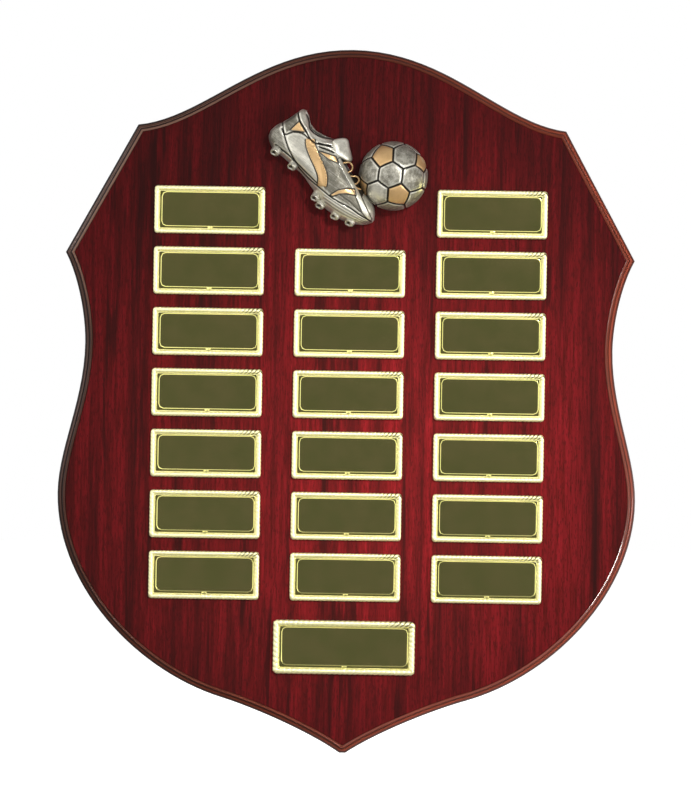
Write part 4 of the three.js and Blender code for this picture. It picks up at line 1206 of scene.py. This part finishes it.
class OBJECT_OT_trophy_hanger(bpy.types.Operator):
    """Build the hanging ring, its strap and the wall bumpers"""

    bl_idname = "object.trophy_hanger"
    bl_label = "Wall Hardware"

    def execute(self, context):
        settings = context.scene.trophy_hanger
        steel = new_material(zinc_plated_steel, settings)
        bm = bmesh.new()
        ring_wire(bm, settings)
        finish_piece(bm, "hanger_ring_wire", steel, ["hanger_ring"], body="ring")

        bm = bmesh.new()
        folded_strap(bm, settings)
        finish_piece(bm, "hanger_strap_folded", steel, ["hanger_strap"])
        for name in ("hanger_screw_upper", "hanger_screw_lower"):
            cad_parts[name].material_slots[0].material = steel

        pattern = bmesh.new()
        wall_bumper(pattern)
        bumpers = ["wall_bumper_left", "wall_bumper_right"]
        stand_copies(pattern, bumpers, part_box(bumpers[0])[0].y, "_moulded",
                     new_material(moulded_rubber, settings))
        return {"FINISHED"}


def studio_floor(node):
    """Plain pale floor, which the camera sees near white and the object lights as a matt surface."""
    path = node("LightPath")
    grain = node("TexNoise", {"Scale": 40, "Detail": 2})
    tint = node("Mix", {0: grain, 6: linear("#F4F4F2"), 7: linear("#F8F8F7")}, data_type="RGBA")
    diffuse = node("BsdfDiffuse", {"Color": tint})
    glow = node("Emission", {"Color": (1, 1, 1, 1), "Strength": 0.8})
    both = node("AddShader", {0: diffuse, 1: glow})
    return node("MixShader", {0: path.outputs["Is Camera Ray"], 1: diffuse, 2: both})


def studio_walls(node):
    """White to the camera and dim to matt surfaces. Glossy ones see a studio that is bright all round,
    less so overhead and behind the shield, with a dark opening behind the camera, which the flat polished
    plates reflect."""
    heading = node("TexCoord").outputs["Generated"]
    forward, upward = (node("VectorMath", {0: heading, 1: towards}, operation="DOT_PRODUCT")
                       for towards in ((0, -1, 0), (0.4, 0, 0.92)))
    glossy = None
    for along, start, end, before, after in (
            (forward, 0.93, 0.975, 1.45, 0.1), (upward, 0.3, 0.7, 1, 0.4), (forward, -0.5, -0.05, 0.5, 1)):
        part = node("MapRange", {"Value": along, "From Min": start, "From Max": end, "To Min": before,
                                 "To Max": after}, interpolation_type="SMOOTHSTEP")
        glossy = node("Math", {0: glossy, 1: part}, operation="MULTIPLY") if glossy else part
    path = node("LightPath")
    soft = node("Mix", {0: path.outputs["Is Diffuse Ray"], 2: glossy, 3: 0.3}, data_type="FLOAT")
    strength = node("Mix", {0: path.outputs["Is Camera Ray"], 2: soft, 3: 1}, data_type="FLOAT")
    return node("Background", {"Color": (1, 1, 1, 1), "Strength": strength})


def place_light(name, kind, place, target, power):
    """Stands a lamp at its place and turns it to its target."""
    lamp = bpy.data.lights.new(name, kind)
    lamp.energy = power
    light = bpy.data.objects.new(name, lamp)
    light.location = place
    light.rotation_euler = (Vector(target) - light.location).to_track_quat("-Z", "Y").to_euler()
    bpy.context.scene.collection.objects.link(light)
    return light


class OBJECT_OT_trophy_stage(bpy.types.Operator):
    """Set the camera, the lights and the floor"""

    bl_idname = "object.trophy_stage"
    bl_label = "Stage"

    def execute(self, context):
        settings = context.scene.trophy_stage
        scene = context.scene
        scene.view_settings.view_transform = "Standard"

        camera = bpy.data.objects.new("camera", bpy.data.cameras.new("camera"))
        scene.collection.objects.link(camera)
        middle = (BOARD_LOW.z + BOARD_HIGH.z) / 2
        # The photo's middle lies 1.5 mm left of the shield's and 0.8 mm above it
        camera.location = (-0.0015, FACE - settings.camera_distance, middle + 0.0008)
        turn = Matrix.Rotation(math.pi / 2, 4, "X") @ Matrix.Rotation(settings.camera_roll, 4, "Z")
        camera.rotation_euler = turn.to_euler()
        camera.data.lens = camera.data.sensor_width * settings.camera_distance / settings.view_height
        camera.data.clip_end = 50
        scene.camera = camera

        bm = bmesh.new()
        # The floor is 6 m square, and most of it lies behind the shield
        bmesh.ops.create_grid(bm, x_segments=1, y_segments=1, size=3)
        bmesh.ops.translate(bm, vec=(0, 2.4, BOARD_LOW.z - settings.floor_gap), verts=bm.verts)
        mesh = bpy.data.meshes.new("floor")
        bm.to_mesh(mesh)
        bm.free()
        mesh.materials.append(new_material(studio_floor))
        floor = bpy.data.objects.new("floor", mesh)
        scene.collection.objects.link(floor)

        scene.world = bpy.data.worlds.new("studio")
        scene.world.use_nodes = True
        fill_tree(scene.world.node_tree, "OutputWorld", studio_walls)

        # The fill and the back lamp have a tenth and three fifths of the key lamp's power
        key_power, centre = settings.key_power, (0, 0, middle)
        for name, place, target, size, power in (
                ("key", (1.3, -0.75, -0.6), centre, 0.8, key_power),
                ("fill", (-0.7, -1.4, -0.9), centre, 0.9, key_power * 0.1),
                ("back", (0.5, 1.4, 0.6), centre, 0.9, key_power * 0.6),
                ("glint", (-1.125, -0.8, 0.3), (0.155, 0, -0.275), 0.45, settings.glint_power)):
            place_light(name, "AREA", place, target, power).data.size = size

        # The glint shows only as a reflection in the lacquer of the board's edge
        glint = bpy.data.objects["glint"]
        glint.visible_diffuse = False
        edge = bpy.data.collections.new("lacquered_edge")
        edge.objects.link(bpy.data.objects["shield_board_moulded"])
        glint.light_linking.receiver_collection = edge

        # A narrow soft spot makes the pool of light on the middle of the face
        pool = place_light("pool", "SPOT", (0.8, -1.6, 0.5), (0.02, 0, -0.215), settings.pool_power).data
        pool.spot_size = math.radians(17)
        pool.spot_blend = 1
        pool.shadow_soft_size = 0.2
        return {"FINISHED"}


OPERATORS = (
    OBJECT_OT_trophy_board,
    OBJECT_OT_trophy_holders,
    OBJECT_OT_trophy_plates,
    OBJECT_OT_trophy_boot,
    OBJECT_OT_trophy_ball,
    OBJECT_OT_trophy_hanger,
    OBJECT_OT_trophy_stage,
)


class VIEW3D_PT_trophy(bpy.types.Panel):
    """Lists the pieces of the trophy"""

    bl_label = "Perpetual Trophy"
    bl_space_type = "VIEW_3D"
    bl_region_type = "UI"
    bl_category = "Trophy"

    def draw(self, context):
        for operator in OPERATORS:
            self.layout.operator(operator.bl_idname)


def register():
    for group in SETTINGS.values():
        bpy.utils.register_class(group)
    for name, group in SETTINGS.items():
        setattr(bpy.types.Scene, name, bpy.props.PointerProperty(type=group))
    for cls in (*OPERATORS, VIEW3D_PT_trophy):
        bpy.utils.register_class(cls)


def unregister():
    for cls in (VIEW3D_PT_trophy, *reversed(OPERATORS)):
        bpy.utils.unregister_class(cls)
    for name in SETTINGS:
        delattr(bpy.types.Scene, name)
    for group in reversed(SETTINGS.values()):
        bpy.utils.unregister_class(group)


def main():
    """Builds every piece."""
    register()
    bpy.ops.object.trophy_board()
    bpy.ops.object.trophy_holders()
    bpy.ops.object.trophy_plates()
    bpy.ops.object.trophy_boot()
    bpy.ops.object.trophy_ball()
    bpy.ops.object.trophy_hanger()
    bpy.ops.object.trophy_stage()


if __name__ == "__main__":
    main()
